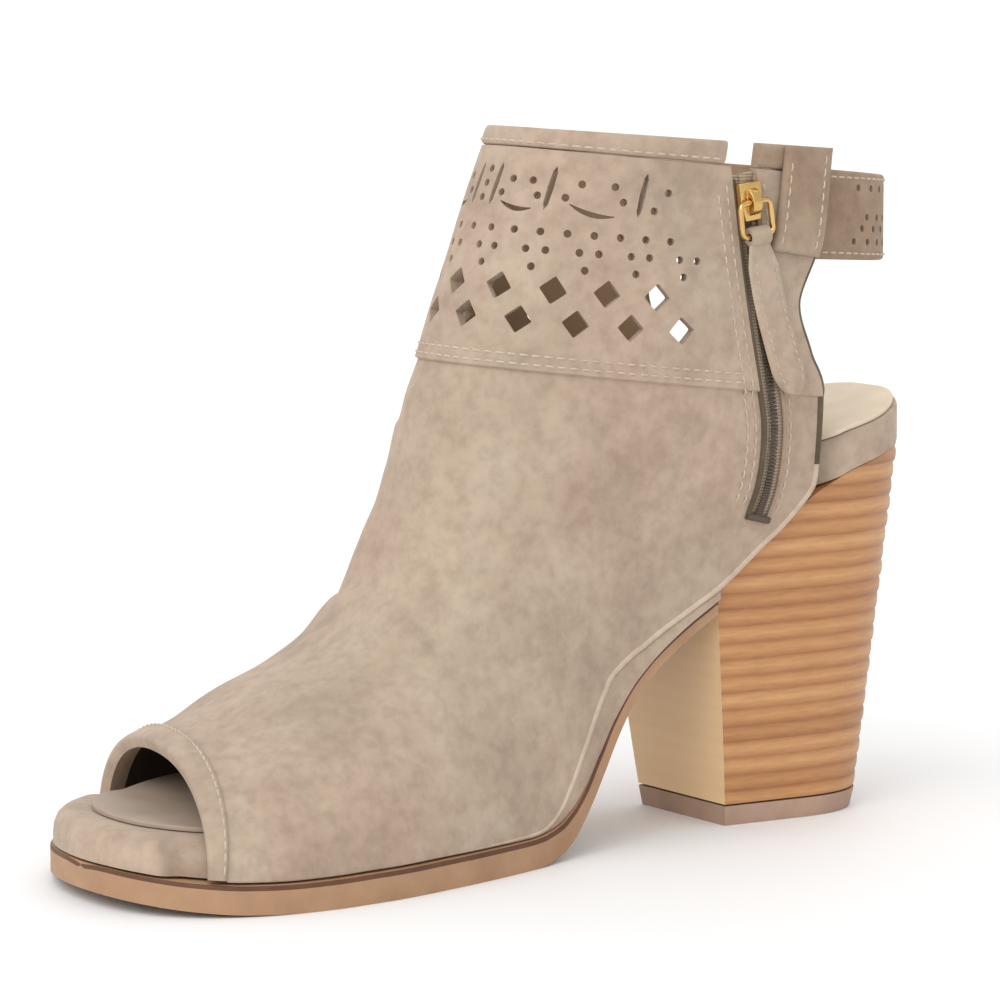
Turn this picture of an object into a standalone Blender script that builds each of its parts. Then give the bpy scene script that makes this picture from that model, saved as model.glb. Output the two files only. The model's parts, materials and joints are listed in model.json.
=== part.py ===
"""Peep toe ankle boot with an open heel, a stacked block heel and a sling strap.

The right shoe of a pair. Metres, +Z up. The toe points along -Y and +X is the medial
side, which carries the zip. The origin is on the floor, under the middle of the heel.
Every length in a table is a share of the named size that it follows.
"""
import math

import bmesh
import bpy
from mathutils import Vector
from mathutils.bvhtree import BVHTree

# Driving sizes of the whole shoe
LENGTH = 0.2300
SEAT_BACK = 0.0335
BALL_WIDTH = 0.0940
SEAT_WIDTH = 0.0550
HEEL_HEIGHT = 0.0935
TOE_SPRING = 0.0033
INSTEP_HEIGHT = 0.0620
SHAFT_HEIGHT = 0.0770
COLLAR_WIDTH = 0.0630
GAP = 0.0003

# Sole, footbed and heel
OUTSOLE_EDGE = 0.0068
SHANK_EDGE = 0.0060
SOLE_LIP = 0.0014
FOOTBED_EDGE = 0.0085
FOOTBED_ROUND = 0.0032
FOOTBED_EASE = 0.0023
SEAT_ROUND = 0.0012
SOCK = 0.0010
SOCK_INSET = 0.0020
LIFT_HEIGHT = 0.0050
HEEL_FLOOR_WIDTH = 0.0370
HEEL_FLOOR_BACK = 0.0225
BREAST_TOP = -0.0306
BREAST_FLOOR = -0.0235
HEEL_FULLNESS = 2.35
BREAST_NARROWING = 0.93
LAYER_PITCH = 0.0041
LAYER_STEP = 0.0005

# Upper, collar and bindings
WALL = 0.0018
COLLAR_LAP = 0.0009
TOE_BINDING = 0.0062
TOPLINE_BINDING = 0.0048
BINDING_ROLL = 0.0006
SEAM_LAP = 0.03

# Perforated pattern of the collar, measured down from the topline binding
PITCH = 0.0130
DIAMOND = 0.0068
UPPER_ROW = 0.0335
LOWER_ROW = 0.0410
SLIT_LENGTH = 0.0106
SLIT_WIDTH = 0.0015
SLIT_DEPTH = 0.0095
ARC_LENGTH = 0.0100
ARC_WIDTH = 0.0013
ARC_DEPTH = 0.0140
ARC_SAG = 0.0005
CUTTER_REACH = 0.0025

# Places of the slits and arcs round the collar, in pitches from the front middle
SLIT_PLACES = (-3.2, -1.45, -0.29, 0.29, 1.45, 3.2)
ARC_PLACES = (-2.32, -0.87, 0.87, 2.32)

# Zip, sling strap and keepers
ZIP_WIDTH = 0.0070
ZIP_TAPE = 0.0010
ZIP_RECESS = 0.0005
SLIDER_WIDTH = 0.0062
SLIDER_LENGTH = 0.0090
SLIDER_THICKNESS = 0.0030
BRIDGE_WIDTH = 0.0026
BRIDGE_REACH = 0.0030
BAIL_WIRE = 0.0015
BAIL_WIDTH = 0.0104
BAIL_LENGTH = 0.0096
BAIL_PLAY = 0.00008
TAB_LENGTH = 0.0400
TAB_WIDTH = 0.0084
TAB_THICKNESS = 0.0018
TAB_CLEAR = 0.0006
TAB_SLANT = 0.0065
TAB_NECK = 0.94
TAB_SPREAD = 0.16
TAB_NECK_END = 0.15
TAB_TIP_START = 0.82
STRAP_HEIGHT = 0.0220
STRAP_THICKNESS = 0.0020
STRAP_BACK = 0.0322
STRAP_TOP = 0.865
STRAP_SEAT = 0.0100
STRAP_DROP = 0.0035
STRAP_NARROWING = 0.0006
KEEPER_THICKNESS = 0.0016
KEEPER_FOOT_ROW = 13.75
KEEPER_REACH = 0.047

# Outline of the upper's feather edge, seen from above. Columns: share of LENGTH from
# the back of the seat, named width, medial half and lateral half as shares of it, and
# the shift of the middle line towards the medial side as a share of BALL_WIDTH.
OUTLINE = (
    (0.0000, SEAT_WIDTH, 0.500, 0.500, 0.000),
    (0.1166, SEAT_WIDTH, 0.505, 0.500, 0.000),
    (0.2721, SEAT_WIDTH, 0.465, 0.470, 0.000),
    (0.3498, SEAT_WIDTH, 0.462, 0.480, 0.000),
    (0.4276, SEAT_WIDTH, 0.485, 0.530, 0.000),
    (0.4859, SEAT_WIDTH, 0.545, 0.600, 0.000),
    (0.5150, BALL_WIDTH, 0.345, 0.385, 0.000),
    (0.5830, BALL_WIDTH, 0.400, 0.440, 0.000),
    (0.6608, BALL_WIDTH, 0.450, 0.485, 0.000),
    (0.7482, BALL_WIDTH, 0.490, 0.500, 0.000),
    (0.8139, BALL_WIDTH, 0.496, 0.496, 0.008),
    (0.8905, BALL_WIDTH, 0.490, 0.490, 0.040),
    (1.0000, BALL_WIDTH, 0.480, 0.480, 0.110),
)
SLOPE_STEP = 0.004
SHANK_FRONT = 0.5199
TOE_CAP = 0.78
TOE_POWER = 2.1
SEAT_CAP = 0.1215
OPENING_RAMP = 0.012
SEAT_POWER = 2.2

# Side profile. Columns: share of LENGTH from the back, tread as a share of HEEL_HEIGHT,
# tread as a share of TOE_SPRING, outsole as a share of OUTSOLE_EDGE, shank wrap as a
# share of SHANK_EDGE, lip as a share of SOLE_LIP.
PROFILE = (
    (0.0000, 0.935, 0.00, 0.44, 0.40, -1.0),
    (0.0486, 0.900, 0.00, 0.44, 0.40, -1.0),
    (0.1108, 0.860, 0.00, 0.44, 0.40, -1.0),
    (0.1458, 0.820, 0.00, 0.44, 0.36, -1.0),
    (0.1749, 0.772, 0.00, 0.44, 0.36, -1.0),
    (0.2167, 0.692, 0.00, 0.44, 0.36, -1.0),
    (0.2604, 0.603, 0.00, 0.44, 0.36, -1.0),
    (0.2787, 0.572, 0.00, 0.44, 0.36, -1.0),
    (0.3109, 0.524, 0.00, 0.44, 0.40, -1.0),
    (0.3413, 0.472, 0.00, 0.44, 0.50, -1.0),
    (0.3630, 0.428, 0.00, 0.44, 0.60, -1.0),
    (0.3834, 0.378, 0.00, 0.44, 0.70, -0.8),
    (0.3987, 0.330, 0.00, 0.44, 0.80, -0.6),
    (0.4152, 0.268, 0.00, 0.45, 0.92, -0.3),
    (0.4305, 0.203, 0.00, 0.47, 1.00, 0.0),
    (0.4544, 0.113, 0.00, 0.55, 0.98, 0.3),
    (0.4765, 0.054, 0.00, 0.72, 0.72, 0.6),
    (0.4922, 0.027, 0.00, 0.88, 0.42, 0.8),
    (0.5152, 0.008, 0.00, 0.98, 0.08, 0.9),
    (0.5267, 0.003, 0.00, 1.00, 0.00, 1.0),
    (0.5490, 0.000, 0.00, 1.00, 0.00, 1.0),
    (0.8358, 0.000, 0.00, 0.96, 0.00, 1.0),
    (0.9020, 0.000, 0.15, 0.94, 0.00, 1.0),
    (0.9511, 0.000, 0.48, 0.92, 0.00, 1.0),
    (1.0000, 0.000, 1.00, 0.90, 0.00, 1.0),
)

# Sections of the upper, from the toe opening to the collar top. Columns: ridge as a
# share of LENGTH from the back, ridge sideways as a share of BALL_WIDTH, ridge height
# as shares of INSTEP_HEIGHT, HEEL_HEIGHT and SHAFT_HEIGHT, medial and lateral edge as
# shares of LENGTH, edge above the footbed line as a share of SHAFT_HEIGHT, edge width
# from the feather (0) to the collar (1), fullness, and side bulge as a share of
# COLLAR_WIDTH.
SECTIONS = (
    (0.8807, -0.055, 0.499, 0.00, 0.000, 0.9323, 0.8551, 0.000, 0.00, 2.25, 0.000),
    (0.8230, -0.060, 0.565, 0.00, 0.000, 0.8990, 0.8139, 0.000, 0.00, 2.20, 0.005),
    (0.7634, -0.060, 0.672, 0.00, 0.000, 0.8139, 0.7592, 0.000, 0.00, 2.15, 0.010),
    (0.7034, -0.060, 0.766, 0.00, 0.000, 0.7366, 0.7016, 0.000, 0.00, 2.10, 0.015),
    (0.6600, -0.060, 0.873, 0.00, 0.000, 0.6588, 0.6326, 0.000, 0.00, 2.10, 0.025),
    (0.6320, -0.058, 1.000, 0.00, 0.000, 0.5714, 0.5539, 0.000, 0.00, 2.10, 0.045),
    (0.6148, -0.055, 0.800, 0.24, 0.000, 0.4839, 0.4762, 0.000, 0.00, 2.10, 0.075),
    (0.6032, -0.048, 0.500, 0.54, 0.000, 0.3936, 0.3887, 0.000, 0.00, 2.10, 0.105),
    (0.5920, -0.040, 0.220, 0.83, 0.000, 0.3022, 0.3022, 0.000, 0.00, 2.15, 0.120),
    (0.5809, -0.030, 0.050, 1.00, 0.060, 0.2235, 0.2235, 0.000, 0.20, 2.20, 0.105),
    (0.5734, -0.020, 0.000, 1.00, 0.175, 0.1759, 0.1759, 0.060, 0.70, 2.25, 0.080),
    (0.5588, -0.012, 0.000, 1.00, 0.283, 0.1730, 0.1730, 0.325, 1.00, 2.30, 0.055),
    (0.5419, -0.005, 0.000, 1.00, 0.440, 0.1900, 0.1900, 0.500, 1.00, 2.30, 0.040),
    (0.5229, 0.003, 0.000, 1.00, 0.597, 0.2060, 0.2060, 0.690, 1.00, 2.30, 0.030),
    (0.5036, 0.012, 0.000, 1.00, 0.780, 0.1800, 0.1800, 0.830, 1.00, 2.30, 0.022),
    (0.4767, 0.030, 0.000, 1.00, 0.992, 0.1691, 0.1691, 1.090, 1.00, 2.35, 0.018),
)
SEAM_ROW = 11
TOP_ROW = len(SECTIONS) - 1

# Middle line of the zip. Columns: share of LENGTH from the back, share of SHAFT_HEIGHT
# above the seat height.
ZIP_LINE = (
    (0.2449, -0.225),
    (0.2371, -0.120),
    (0.2342, 0.040),
    (0.2429, 0.215),
    (0.2536, 0.380),
    (0.2633, 0.550),
    (0.2711, 0.720),
    (0.2779, 0.860),
)

# Colours and finishes: red, green, blue, roughness, metallic
FINISHES = {
    "suede": (0.47, 0.38, 0.31, 0.95, 0.0),
    "stacked_leather": (0.52, 0.30, 0.15, 0.55, 0.0),
    "outsole": (0.36, 0.22, 0.13, 0.60, 0.0),
    "rubber": (0.22, 0.18, 0.15, 0.80, 0.0),
    "sock": (0.72, 0.60, 0.46, 0.70, 0.0),
    "tape": (0.55, 0.45, 0.35, 0.90, 0.0),
    "gold": (0.83, 0.62, 0.35, 0.25, 1.0),
}


def clear_scene():
    for old in list(bpy.data.objects):
        bpy.data.objects.remove(old, do_unlink=True)


def finish(name):
    found = bpy.data.materials.get(name)
    if found:
        return found
    red, green, blue, rough, metal = FINISHES[name]
    made = bpy.data.materials.new(name)
    made.use_nodes = True
    shader = made.node_tree.nodes["Principled BSDF"]
    shader.inputs["Base Color"].default_value = (red, green, blue, 1.0)
    shader.inputs["Roughness"].default_value = rough
    shader.inputs["Metallic"].default_value = metal
    made.diffuse_color = (red, green, blue, 1.0)
    return made


def add_piece(name, vertices, faces, material, smooth_angle=35.0):
    mesh = bpy.data.meshes.new(name)
    mesh.from_pydata([tuple(v) for v in vertices], [], faces)
    mesh.materials.append(finish(material))
    work = bmesh.new()
    work.from_mesh(mesh)
    bmesh.ops.recalc_face_normals(work, faces=work.faces)
    work.to_mesh(mesh)
    work.free()
    piece = bpy.data.objects.new(name, mesh)
    bpy.context.collection.objects.link(piece)
    mesh.shade_smooth()
    mesh.set_sharp_from_angle(angle=math.radians(smooth_angle))
    return piece


def as_cutter(piece):
    piece.hide_render = True
    piece.display_type = "WIRE"
    return piece


def cut(piece, cutter, operation="DIFFERENCE"):
    modifier = piece.modifiers.new(cutter.name, "BOOLEAN")
    modifier.operation = operation
    modifier.solver = "EXACT"
    modifier.object = cutter
    return piece


def interpolate(rows, column, at, key=0):
    """Monotone cubic through the rows of a table, so flat stretches stay flat."""
    xs = [row[key] for row in rows]
    ys = [row[column] for row in rows]
    return monotone(xs, ys, at)


def monotone(xs, ys, at):
    if at <= xs[0]:
        return ys[0]
    if at >= xs[-1]:
        return ys[-1]
    steps = [b - a for a, b in zip(xs, xs[1:])]
    slopes = [(b - a) / h for a, b, h in zip(ys, ys[1:], steps)]
    index = max(i for i in range(len(steps)) if at >= xs[i])

    def tangent(i):
        if i == 0:
            return slopes[0]
        if i == len(slopes):
            return slopes[-1]
        before, after = slopes[i - 1], slopes[i]
        if before * after <= 0.0:
            return 0.0
        first = 2.0 * steps[i] + steps[i - 1]
        second = steps[i] + 2.0 * steps[i - 1]
        return (first + second) / (first / before + second / after)

    h = steps[index]
    t = (at - xs[index]) / h
    t2, t3 = t * t, t * t * t
    return ((2 * t3 - 3 * t2 + 1) * ys[index] + (t3 - 2 * t2 + t) * h * tangent(index)
            + (3 * t2 - 2 * t3) * ys[index + 1] + (t3 - t2) * h * tangent(index + 1))


def y_at(share):
    return SEAT_BACK - share * LENGTH


def share_of(y):
    return (SEAT_BACK - y) / LENGTH


# Outline and profile

def cap(share):
    """Round the outline off at the toe and at the back of the seat."""
    if share > TOE_CAP:
        t = min((share - TOE_CAP) / (1.0 - TOE_CAP), 1.0)
        return (1.0 - t ** TOE_POWER) ** (1.0 / TOE_POWER)
    if share < SEAT_CAP:
        t = min((SEAT_CAP - share) / SEAT_CAP, 1.0)
        return (1.0 - t ** SEAT_POWER) ** (1.0 / SEAT_POWER)
    return 1.0


def half_width(share, side):
    rows = [(row[0], row[1] * row[2 if side > 0 else 3]) for row in OUTLINE]
    return interpolate(rows, 1, share)


def outline_x(share, side, grow=0.0):
    """X of the feather edge on one side, the medial side for +1."""
    middle = BALL_WIDTH * interpolate(OUTLINE, 4, share)
    reach = half_width(share, side) * cap(share)
    return middle + side * max(reach + grow * min(1.0, 3.0 * cap(share)), 0.0004)


def tread(share):
    return (HEEL_HEIGHT * interpolate(PROFILE, 1, share)
            + TOE_SPRING * interpolate(PROFILE, 2, share))


def steepness(share):
    rise = tread(share - SLOPE_STEP) - tread(share + SLOPE_STEP)
    return math.hypot(1.0, rise / (2.0 * SLOPE_STEP * LENGTH))


def outsole_top(share):
    return tread(share) + OUTSOLE_EDGE * interpolate(PROFILE, 3, share) * steepness(share)


def shank_top(share):
    return outsole_top(share) + SHANK_EDGE * interpolate(PROFILE, 4, share) * steepness(share)


def bed(share):
    """Height of the line on which the footbed and the upper's edge stand."""
    return shank_top(share) + GAP


def lip(share):
    return SOLE_LIP * interpolate(PROFILE, 5, share)


def spaced(first, last, count, tip=False):
    """Shares along the shoe, closer together towards a rounded tip at the end."""
    out = []
    for i in range(count + 1):
        t = i / count
        out.append(first + (last - first) * (math.sin(t * math.pi / 2) if tip else t))
    return out


def slab(name, shares, edges, bottom, top, material, bevel):
    """A solid that follows the outline: one ring of six points for each share."""
    vertices, faces = [], []
    for share in shares:
        y = y_at(share)
        low, high = bottom(share), top(share)
        left, right = edges(share)
        soft = min(bevel(share), 0.45 * (high - low), 0.45 * (right - left))
        vertices += [(left, y, low), (left, y, high - soft), (left + soft, y, high),
                     (right - soft, y, high), (right, y, high - soft), (right, y, low)]
    ring = 6
    for i in range(len(shares) - 1):
        a, b = i * ring, (i + 1) * ring
        for k in range(ring):
            n = (k + 1) % ring
            faces.append((a + k, a + n, b + n, b + k))
    last = (len(shares) - 1) * ring
    faces.append(tuple(range(ring - 1, -1, -1)))
    faces.append(tuple(last + k for k in range(ring)))
    return add_piece(name, vertices, faces, material)


def stations(first, last):
    """The shares at which every layer of the bottom has its sections, so that the
    layers run parallel: all of them between two ends, and the ends themselves."""
    back = [SEAT_CAP * (1.0 - s) for s in spaced(0.0, 1.0, 7, tip=True)]
    front = [TOE_CAP + (1.0 - TOE_CAP) * s for s in spaced(0.0, 1.0, 9, tip=True)]
    inner = spaced(SEAT_CAP, 0.29, 5) + spaced(0.29, 0.545, 15) + spaced(0.545, TOE_CAP, 5)
    fixed = [breast_share(), SHANK_FRONT, SOCK_INSET / LENGTH, 1.0 - SOCK_INSET / LENGTH]
    shares = sorted(back + inner + front + fixed)
    kept = [first]
    for share in shares:
        if kept[-1] + 0.0015 < share < last - 0.0015:
            kept.append(share)
    return kept + [last]


def breast_share():
    return share_of(BREAST_TOP - GAP)


def make_outsole():
    def edges(share):
        grow = lip(share)
        return outline_x(share, -1, grow), outline_x(share, 1, grow)

    return slab("outsole", stations(breast_share(), 1.0), edges, tread, outsole_top,
                "outsole", lambda share: 0.0008)


def make_shank_wrap():
    def edges(share):
        return outline_x(share, -1, -0.0004), outline_x(share, 1, -0.0004)

    def low(share):
        return outsole_top(share) + GAP

    def high(share):
        return max(shank_top(share), low(share) + GAP)

    return slab("shank_wrap", stations(breast_share(), SHANK_FRONT), edges, low, high,
                "suede", lambda share: 0.0006)


def opening_step(share, side):
    """How far the footbed stays inside the outline: by the upper's wall where it is
    covered, and not at all in the open toe and heel."""
    column = 5 if side > 0 else 6
    margin = (BINDING_ROLL + 3.0 * GAP) / LENGTH
    toe = SECTIONS[0][column] + margin
    heel = min(row[column] for row in SECTIONS) - margin
    covered = 1.0 - max(share - toe, heel - share, 0.0) / OPENING_RAMP
    return (WALL + BINDING_ROLL + FOOTBED_EASE) * max(0.0, covered)


def turn(share, side):
    """How much a sideways step grows where the outline turns round the toe or heel."""
    first, last = max(share - SLOPE_STEP, 0.0), min(share + SLOPE_STEP, 1.0)
    slope = (outline_x(last, side) - outline_x(first, side)) / ((last - first) * LENGTH)
    return min(math.hypot(1.0, slope), 3.0)


def footbed_edges(share):
    return (outline_x(share, -1, -opening_step(share, -1) * turn(share, -1)),
            outline_x(share, 1, -opening_step(share, 1) * turn(share, 1)))


def footbed_bottom(share):
    return bed(share) + GAP


def footbed_top(share):
    return footbed_bottom(share) + FOOTBED_EDGE * steepness(share)


def footbed_round(share):
    """Radius of the footbed's top edge: full at the toe, crisp round the seat."""
    t = min(max((share - 0.3) / 0.4, 0.0), 1.0)
    return SEAT_ROUND + (FOOTBED_ROUND - SEAT_ROUND) * t


def make_footbed():
    return slab("footbed", stations(0.0, 1.0), footbed_edges, footbed_bottom, footbed_top,
                "suede", footbed_round)


def make_sock():
    """The pale lining on the footbed, kept inside its rounded edge."""
    heel_end = SOCK_INSET / LENGTH
    toe_end = 1.0 - (SOCK_INSET + FOOTBED_ROUND) / LENGTH

    def edges(share):
        t = (share - heel_end) / (toe_end - heel_end)
        middle = BALL_WIDTH * interpolate(OUTLINE, 4, share)
        pair = []
        for side, edge in zip((-1, 1), footbed_edges(share)):
            inset = SOCK_INSET + footbed_round(share) - SEAT_ROUND
            reach = max((half_width(share, side) - opening_step(share, side) - inset) * cap(t),
                        2.0 * GAP)
            inner = abs(edge - middle) - footbed_round(share) - GAP
            pair.append(middle + side * max(min(reach, inner), GAP))
        return pair[0], pair[1]

    return slab("sock_lining", stations(heel_end, toe_end), edges,
                lambda s: footbed_top(s) + GAP, lambda s: footbed_top(s) + GAP + SOCK,
                "sock", lambda share: 0.0004)


# Heel

def heel_ring(height, grow):
    """Half-oval of the heel at one height, closed by the flat breast."""
    t = height / HEEL_HEIGHT
    back = HEEL_FLOOR_BACK + (SEAT_BACK - HEEL_FLOOR_BACK) * t
    front = BREAST_FLOOR + (BREAST_TOP - BREAST_FLOOR) * height / bed(share_of(BREAST_TOP))
    wide = 0.5 * (HEEL_FLOOR_WIDTH + (SEAT_WIDTH - HEEL_FLOOR_WIDTH) * t ** 0.8)
    spring = front + 0.52 * (back - front)
    ring = []
    for i in range(13):
        angle = math.pi * i / 12
        power = 2.0 / HEEL_FULLNESS
        x = wide * math.copysign(abs(math.cos(angle)) ** power, math.cos(angle))
        y = spring + (back - spring) * math.sin(angle) ** power
        ring.append((x + grow * math.cos(angle), y + grow * math.sin(angle), height))
    corner = wide * BREAST_NARROWING + grow
    ring.append((-corner, front, height))
    ring.append((corner, front, height))
    return ring


def loft(name, rings, material, smooth_angle=35.0):
    count = len(rings[0])
    vertices = [point for ring in rings for point in ring]
    faces = []
    for i in range(len(rings) - 1):
        a, b = i * count, (i + 1) * count
        for k in range(count):
            n = (k + 1) % count
            faces.append((a + k, a + n, b + n, b + k))
    faces.append(tuple(range(count - 1, -1, -1)))
    faces.append(tuple((len(rings) - 1) * count + k for k in range(count)))
    return add_piece(name, vertices, faces, material, smooth_angle)


def make_heel():
    top = HEEL_HEIGHT + LAYER_PITCH
    layers = int(round((top - LIFT_HEIGHT) / LAYER_PITCH))
    rings = []
    for i in range(layers):
        low = LIFT_HEIGHT + GAP + (top - LIFT_HEIGHT) * i / layers
        high = LIFT_HEIGHT + GAP + (top - LIFT_HEIGHT) * (i + 1) / layers
        rings.append(heel_ring(low + 0.30 * (high - low), LAYER_STEP))
        if i < layers - 1:
            rings.append(heel_ring(high, 0.0))
    rings.insert(0, heel_ring(LIFT_HEIGHT + GAP, LAYER_STEP))
    rings.append(heel_ring(top, 0.0))
    heel = loft("stacked_heel", rings, "stacked_leather", 20.0)
    return cut(heel, seat_cutter())


def seat_cutter():
    """Everything above the line of the seat, to shape the top of the heel."""
    reach = 0.6 * SEAT_WIDTH
    above = HEEL_HEIGHT + 4.0 * LAYER_PITCH
    shares = [-0.10] + spaced(0.0, share_of(BREAST_TOP), 14) + [0.36]
    vertices, faces = [], []
    for share in shares:
        y = y_at(share)
        low = bed(max(share, 0.0)) - GAP + max(-share, 0.0) * 0.26 * LENGTH
        vertices += [(-reach, y, low), (-reach, y, above), (reach, y, above), (reach, y, low)]
    for i in range(len(shares) - 1):
        a, b = 4 * i, 4 * (i + 1)
        for k in range(4):
            n = (k + 1) % 4
            faces.append((a + k, a + n, b + n, b + k))
    last = 4 * (len(shares) - 1)
    faces.append((3, 2, 1, 0))
    faces.append((last, last + 1, last + 2, last + 3))
    return as_cutter(add_piece("seat_cutter", vertices, faces, "suede"))


def make_lift():
    rings = [heel_ring(0.0, 0.0), heel_ring(LIFT_HEIGHT, LAYER_STEP)]
    return loft("heel_lift", rings, "rubber")


# Upper

def section(row):
    """Ridge, medial edge and lateral edge of the upper at a fractional row."""
    table = [(float(i),) + SECTIONS[i] for i in range(len(SECTIONS))]

    def value(column):
        return interpolate(table, column + 1, row)

    ridge = Vector((BALL_WIDTH * value(1), y_at(value(0)), INSTEP_HEIGHT * value(2)
                    + HEEL_HEIGHT * value(3) + SHAFT_HEIGHT * value(4)))
    edges = []
    for side, column in ((1, 5), (-1, 6)):
        share = value(column)
        feather = outline_x(share, side, -0.0003)
        x = feather + (side * 0.5 * COLLAR_WIDTH - feather) * value(8)
        edges.append(Vector((x, y_at(share), bed(share) + 2.0 * GAP + SHAFT_HEIGHT * value(7))))
    return ridge, edges[0], edges[1], value(9), value(10)


def upper_point(row, across):
    """Point on the outside of the upper: across runs from 0, the medial edge, over
    0.5, the ridge, to 1, the lateral edge."""
    ridge, medial, lateral, fullness, bulge = section(row)
    middle = (medial + lateral) / 2.0
    angle = math.pi * across
    power = 2.0 / fullness
    side = medial - middle if across <= 0.5 else lateral - middle
    run = abs(math.cos(angle)) ** power
    climb = math.sin(angle) ** power if 0.0 < across < 1.0 else 0.0
    push = COLLAR_WIDTH * bulge * math.sin(2.0 * angle)
    return middle + side * run + (ridge - middle) * climb + Vector((push, 0.0, 0.0))


def upper_normal(row, across):
    reach = 10.0 * SLOPE_STEP
    along = upper_point(min(row + reach, TOP_ROW), across) - upper_point(
        max(row - reach, 0.0), across)
    start, end = max(across - SLOPE_STEP, 0.0005), min(across + SLOPE_STEP, 0.9995)
    over = upper_point(row, end) - upper_point(row, start)
    out = along.cross(over)
    out.normalize()
    return -out if out.dot(upper_point(row, across) - inside_point(row)) < 0.0 else out


def inside_point(row):
    return sum(section(row)[:3], Vector()) / 3.0


def shell(name, rows, acrosses, outer, inner, material):
    """A closed wall over a window of the upper: outer and inner give its offsets."""
    vertices, faces = [], []
    wide, tall = len(acrosses), len(rows)
    for offset in (outer, inner):
        for row, shift in rows:
            for across in acrosses:
                point = upper_point(row, across)
                normal = upper_normal(row, across)
                vertices.append(point + normal * offset(row, across, shift))
    layer = wide * tall
    for i in range(tall - 1):
        for k in range(wide - 1):
            a = i * wide + k
            b = a + wide
            faces.append((a, a + 1, b + 1, b))
            faces.append((layer + a, layer + b, layer + b + 1, layer + a + 1))
    for i in range(tall - 1):
        a, b = i * wide, (i + 1) * wide
        faces.append((a, b, layer + b, layer + a))
        a, b = a + wide - 1, b + wide - 1
        faces.append((a, layer + a, layer + b, b))
    for k in range(wide - 1):
        a = k
        faces.append((a, layer + a, layer + a + 1, a + 1))
        a = (tall - 1) * wide + k
        faces.append((a, a + 1, layer + a + 1, layer + a))
    return add_piece(name, vertices, faces, material)


def row_below(row, across, distance, direction):
    """Fractional row that lies a given distance from another along the surface."""
    step = 0.02 * direction
    here = upper_point(row, across)
    gone = 0.0
    while gone < distance and 0.0 <= row + step <= TOP_ROW:
        there = upper_point(row + step, across)
        leap = (there - here).length
        if gone + leap >= distance:
            return row + step * (distance - gone) / leap
        gone += leap
        row += step
        here = there
    return row


def collar_window(distance, across):
    return row_below(TOP_ROW, across, distance, -1)


def acrosses_between(first, last, count):
    return [first + (last - first) * i / count for i in range(count + 1)]


def make_upper():
    """The hollow upper, with the collar lapping the vamp as a step in its wall."""
    acrosses = acrosses_between(0.0, 1.0, 30)
    toe_row = row_below(0.0, 0.5, TOE_BINDING + GAP, 1)
    top_row = collar_window(TOPLINE_BINDING + GAP, 0.5)
    rows = []
    for first, last, count in ((toe_row, 5.0, 9), (5.0, 10.0, 18), (10.0, SEAM_ROW, 3)):
        rows += [(first + (last - first) * i / count, 0.0) for i in range(count)]
    rows.append((SEAM_ROW, 0.0))
    lap_row = SEAM_ROW + SEAM_LAP
    rows.append((lap_row, 1.0))
    for i in range(1, 7):
        rows.append((lap_row + (top_row - lap_row) * i / 6, 1.0))
    upper = shell("upper", rows, acrosses, lambda row, across, lap: lap * COLLAR_LAP,
                  lambda row, across, lap: -WALL, "suede")
    cut(upper, zip_prism("zip_cutter", 0.5 * ZIP_WIDTH, 0.012))
    return cut(upper, perforations())


def band(name, rows, acrosses, outside, inside, material):
    """A folded binding with rounded edges over a strip of the upper."""
    ring_at = []
    for across in acrosses:
        low, high = rows(across)
        ring = []
        for share, lift in ((0.0, 0.25), (0.12, 0.85), (0.5, 1.0), (0.88, 0.85), (1.0, 0.25)):
            row = low + (high - low) * share
            ring.append(upper_point(row, across) + upper_normal(row, across) * outside * lift)
        for share in (1.0, 0.5, 0.0):
            row = low + (high - low) * share
            ring.append(upper_point(row, across) - upper_normal(row, across) * inside)
        ring_at.append(ring)
    return loft(name, ring_at, material)


def make_toe_binding():
    end = row_below(0.0, 0.5, TOE_BINDING, 1)
    return band("toe_binding", lambda across: (0.0, end), acrosses_between(0.0, 1.0, 26),
                2.0 * BINDING_ROLL, WALL + 0.5 * BINDING_ROLL, "suede")


def zip_across(row, shift):
    """The place across the upper where the zip's edge crosses a row."""
    target = zip_middle(1.0)[1] + shift
    places = [a / 400 for a in range(160)]
    return min(places, key=lambda place: abs(upper_point(row, place).y - target))


def make_topline_bindings():
    edge = 0.5 * ZIP_WIDTH + 4.0 * GAP

    def rows(across):
        return collar_window(TOPLINE_BINDING, 0.5), TOP_ROW

    front = zip_across(TOP_ROW, -edge)
    behind = zip_across(TOP_ROW, edge)
    outside = COLLAR_LAP + BINDING_ROLL
    inside = WALL + 0.5 * BINDING_ROLL
    band("topline_binding", rows, acrosses_between(front, 1.0, 34), outside, inside, "suede")
    band("panel_binding", rows, acrosses_between(0.0, behind, 4), outside, inside, "suede")


# Zip

def zip_middle(t):
    """Point on the middle line of the zip in the side view, from bottom to top."""
    rows = [(i / (len(ZIP_LINE) - 1),) + ZIP_LINE[i] for i in range(len(ZIP_LINE))]
    share = interpolate(rows, 1, t)
    rise = interpolate(rows, 2, t)
    return (0.0, y_at(share), HEEL_HEIGHT + SHAFT_HEIGHT * rise)


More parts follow.
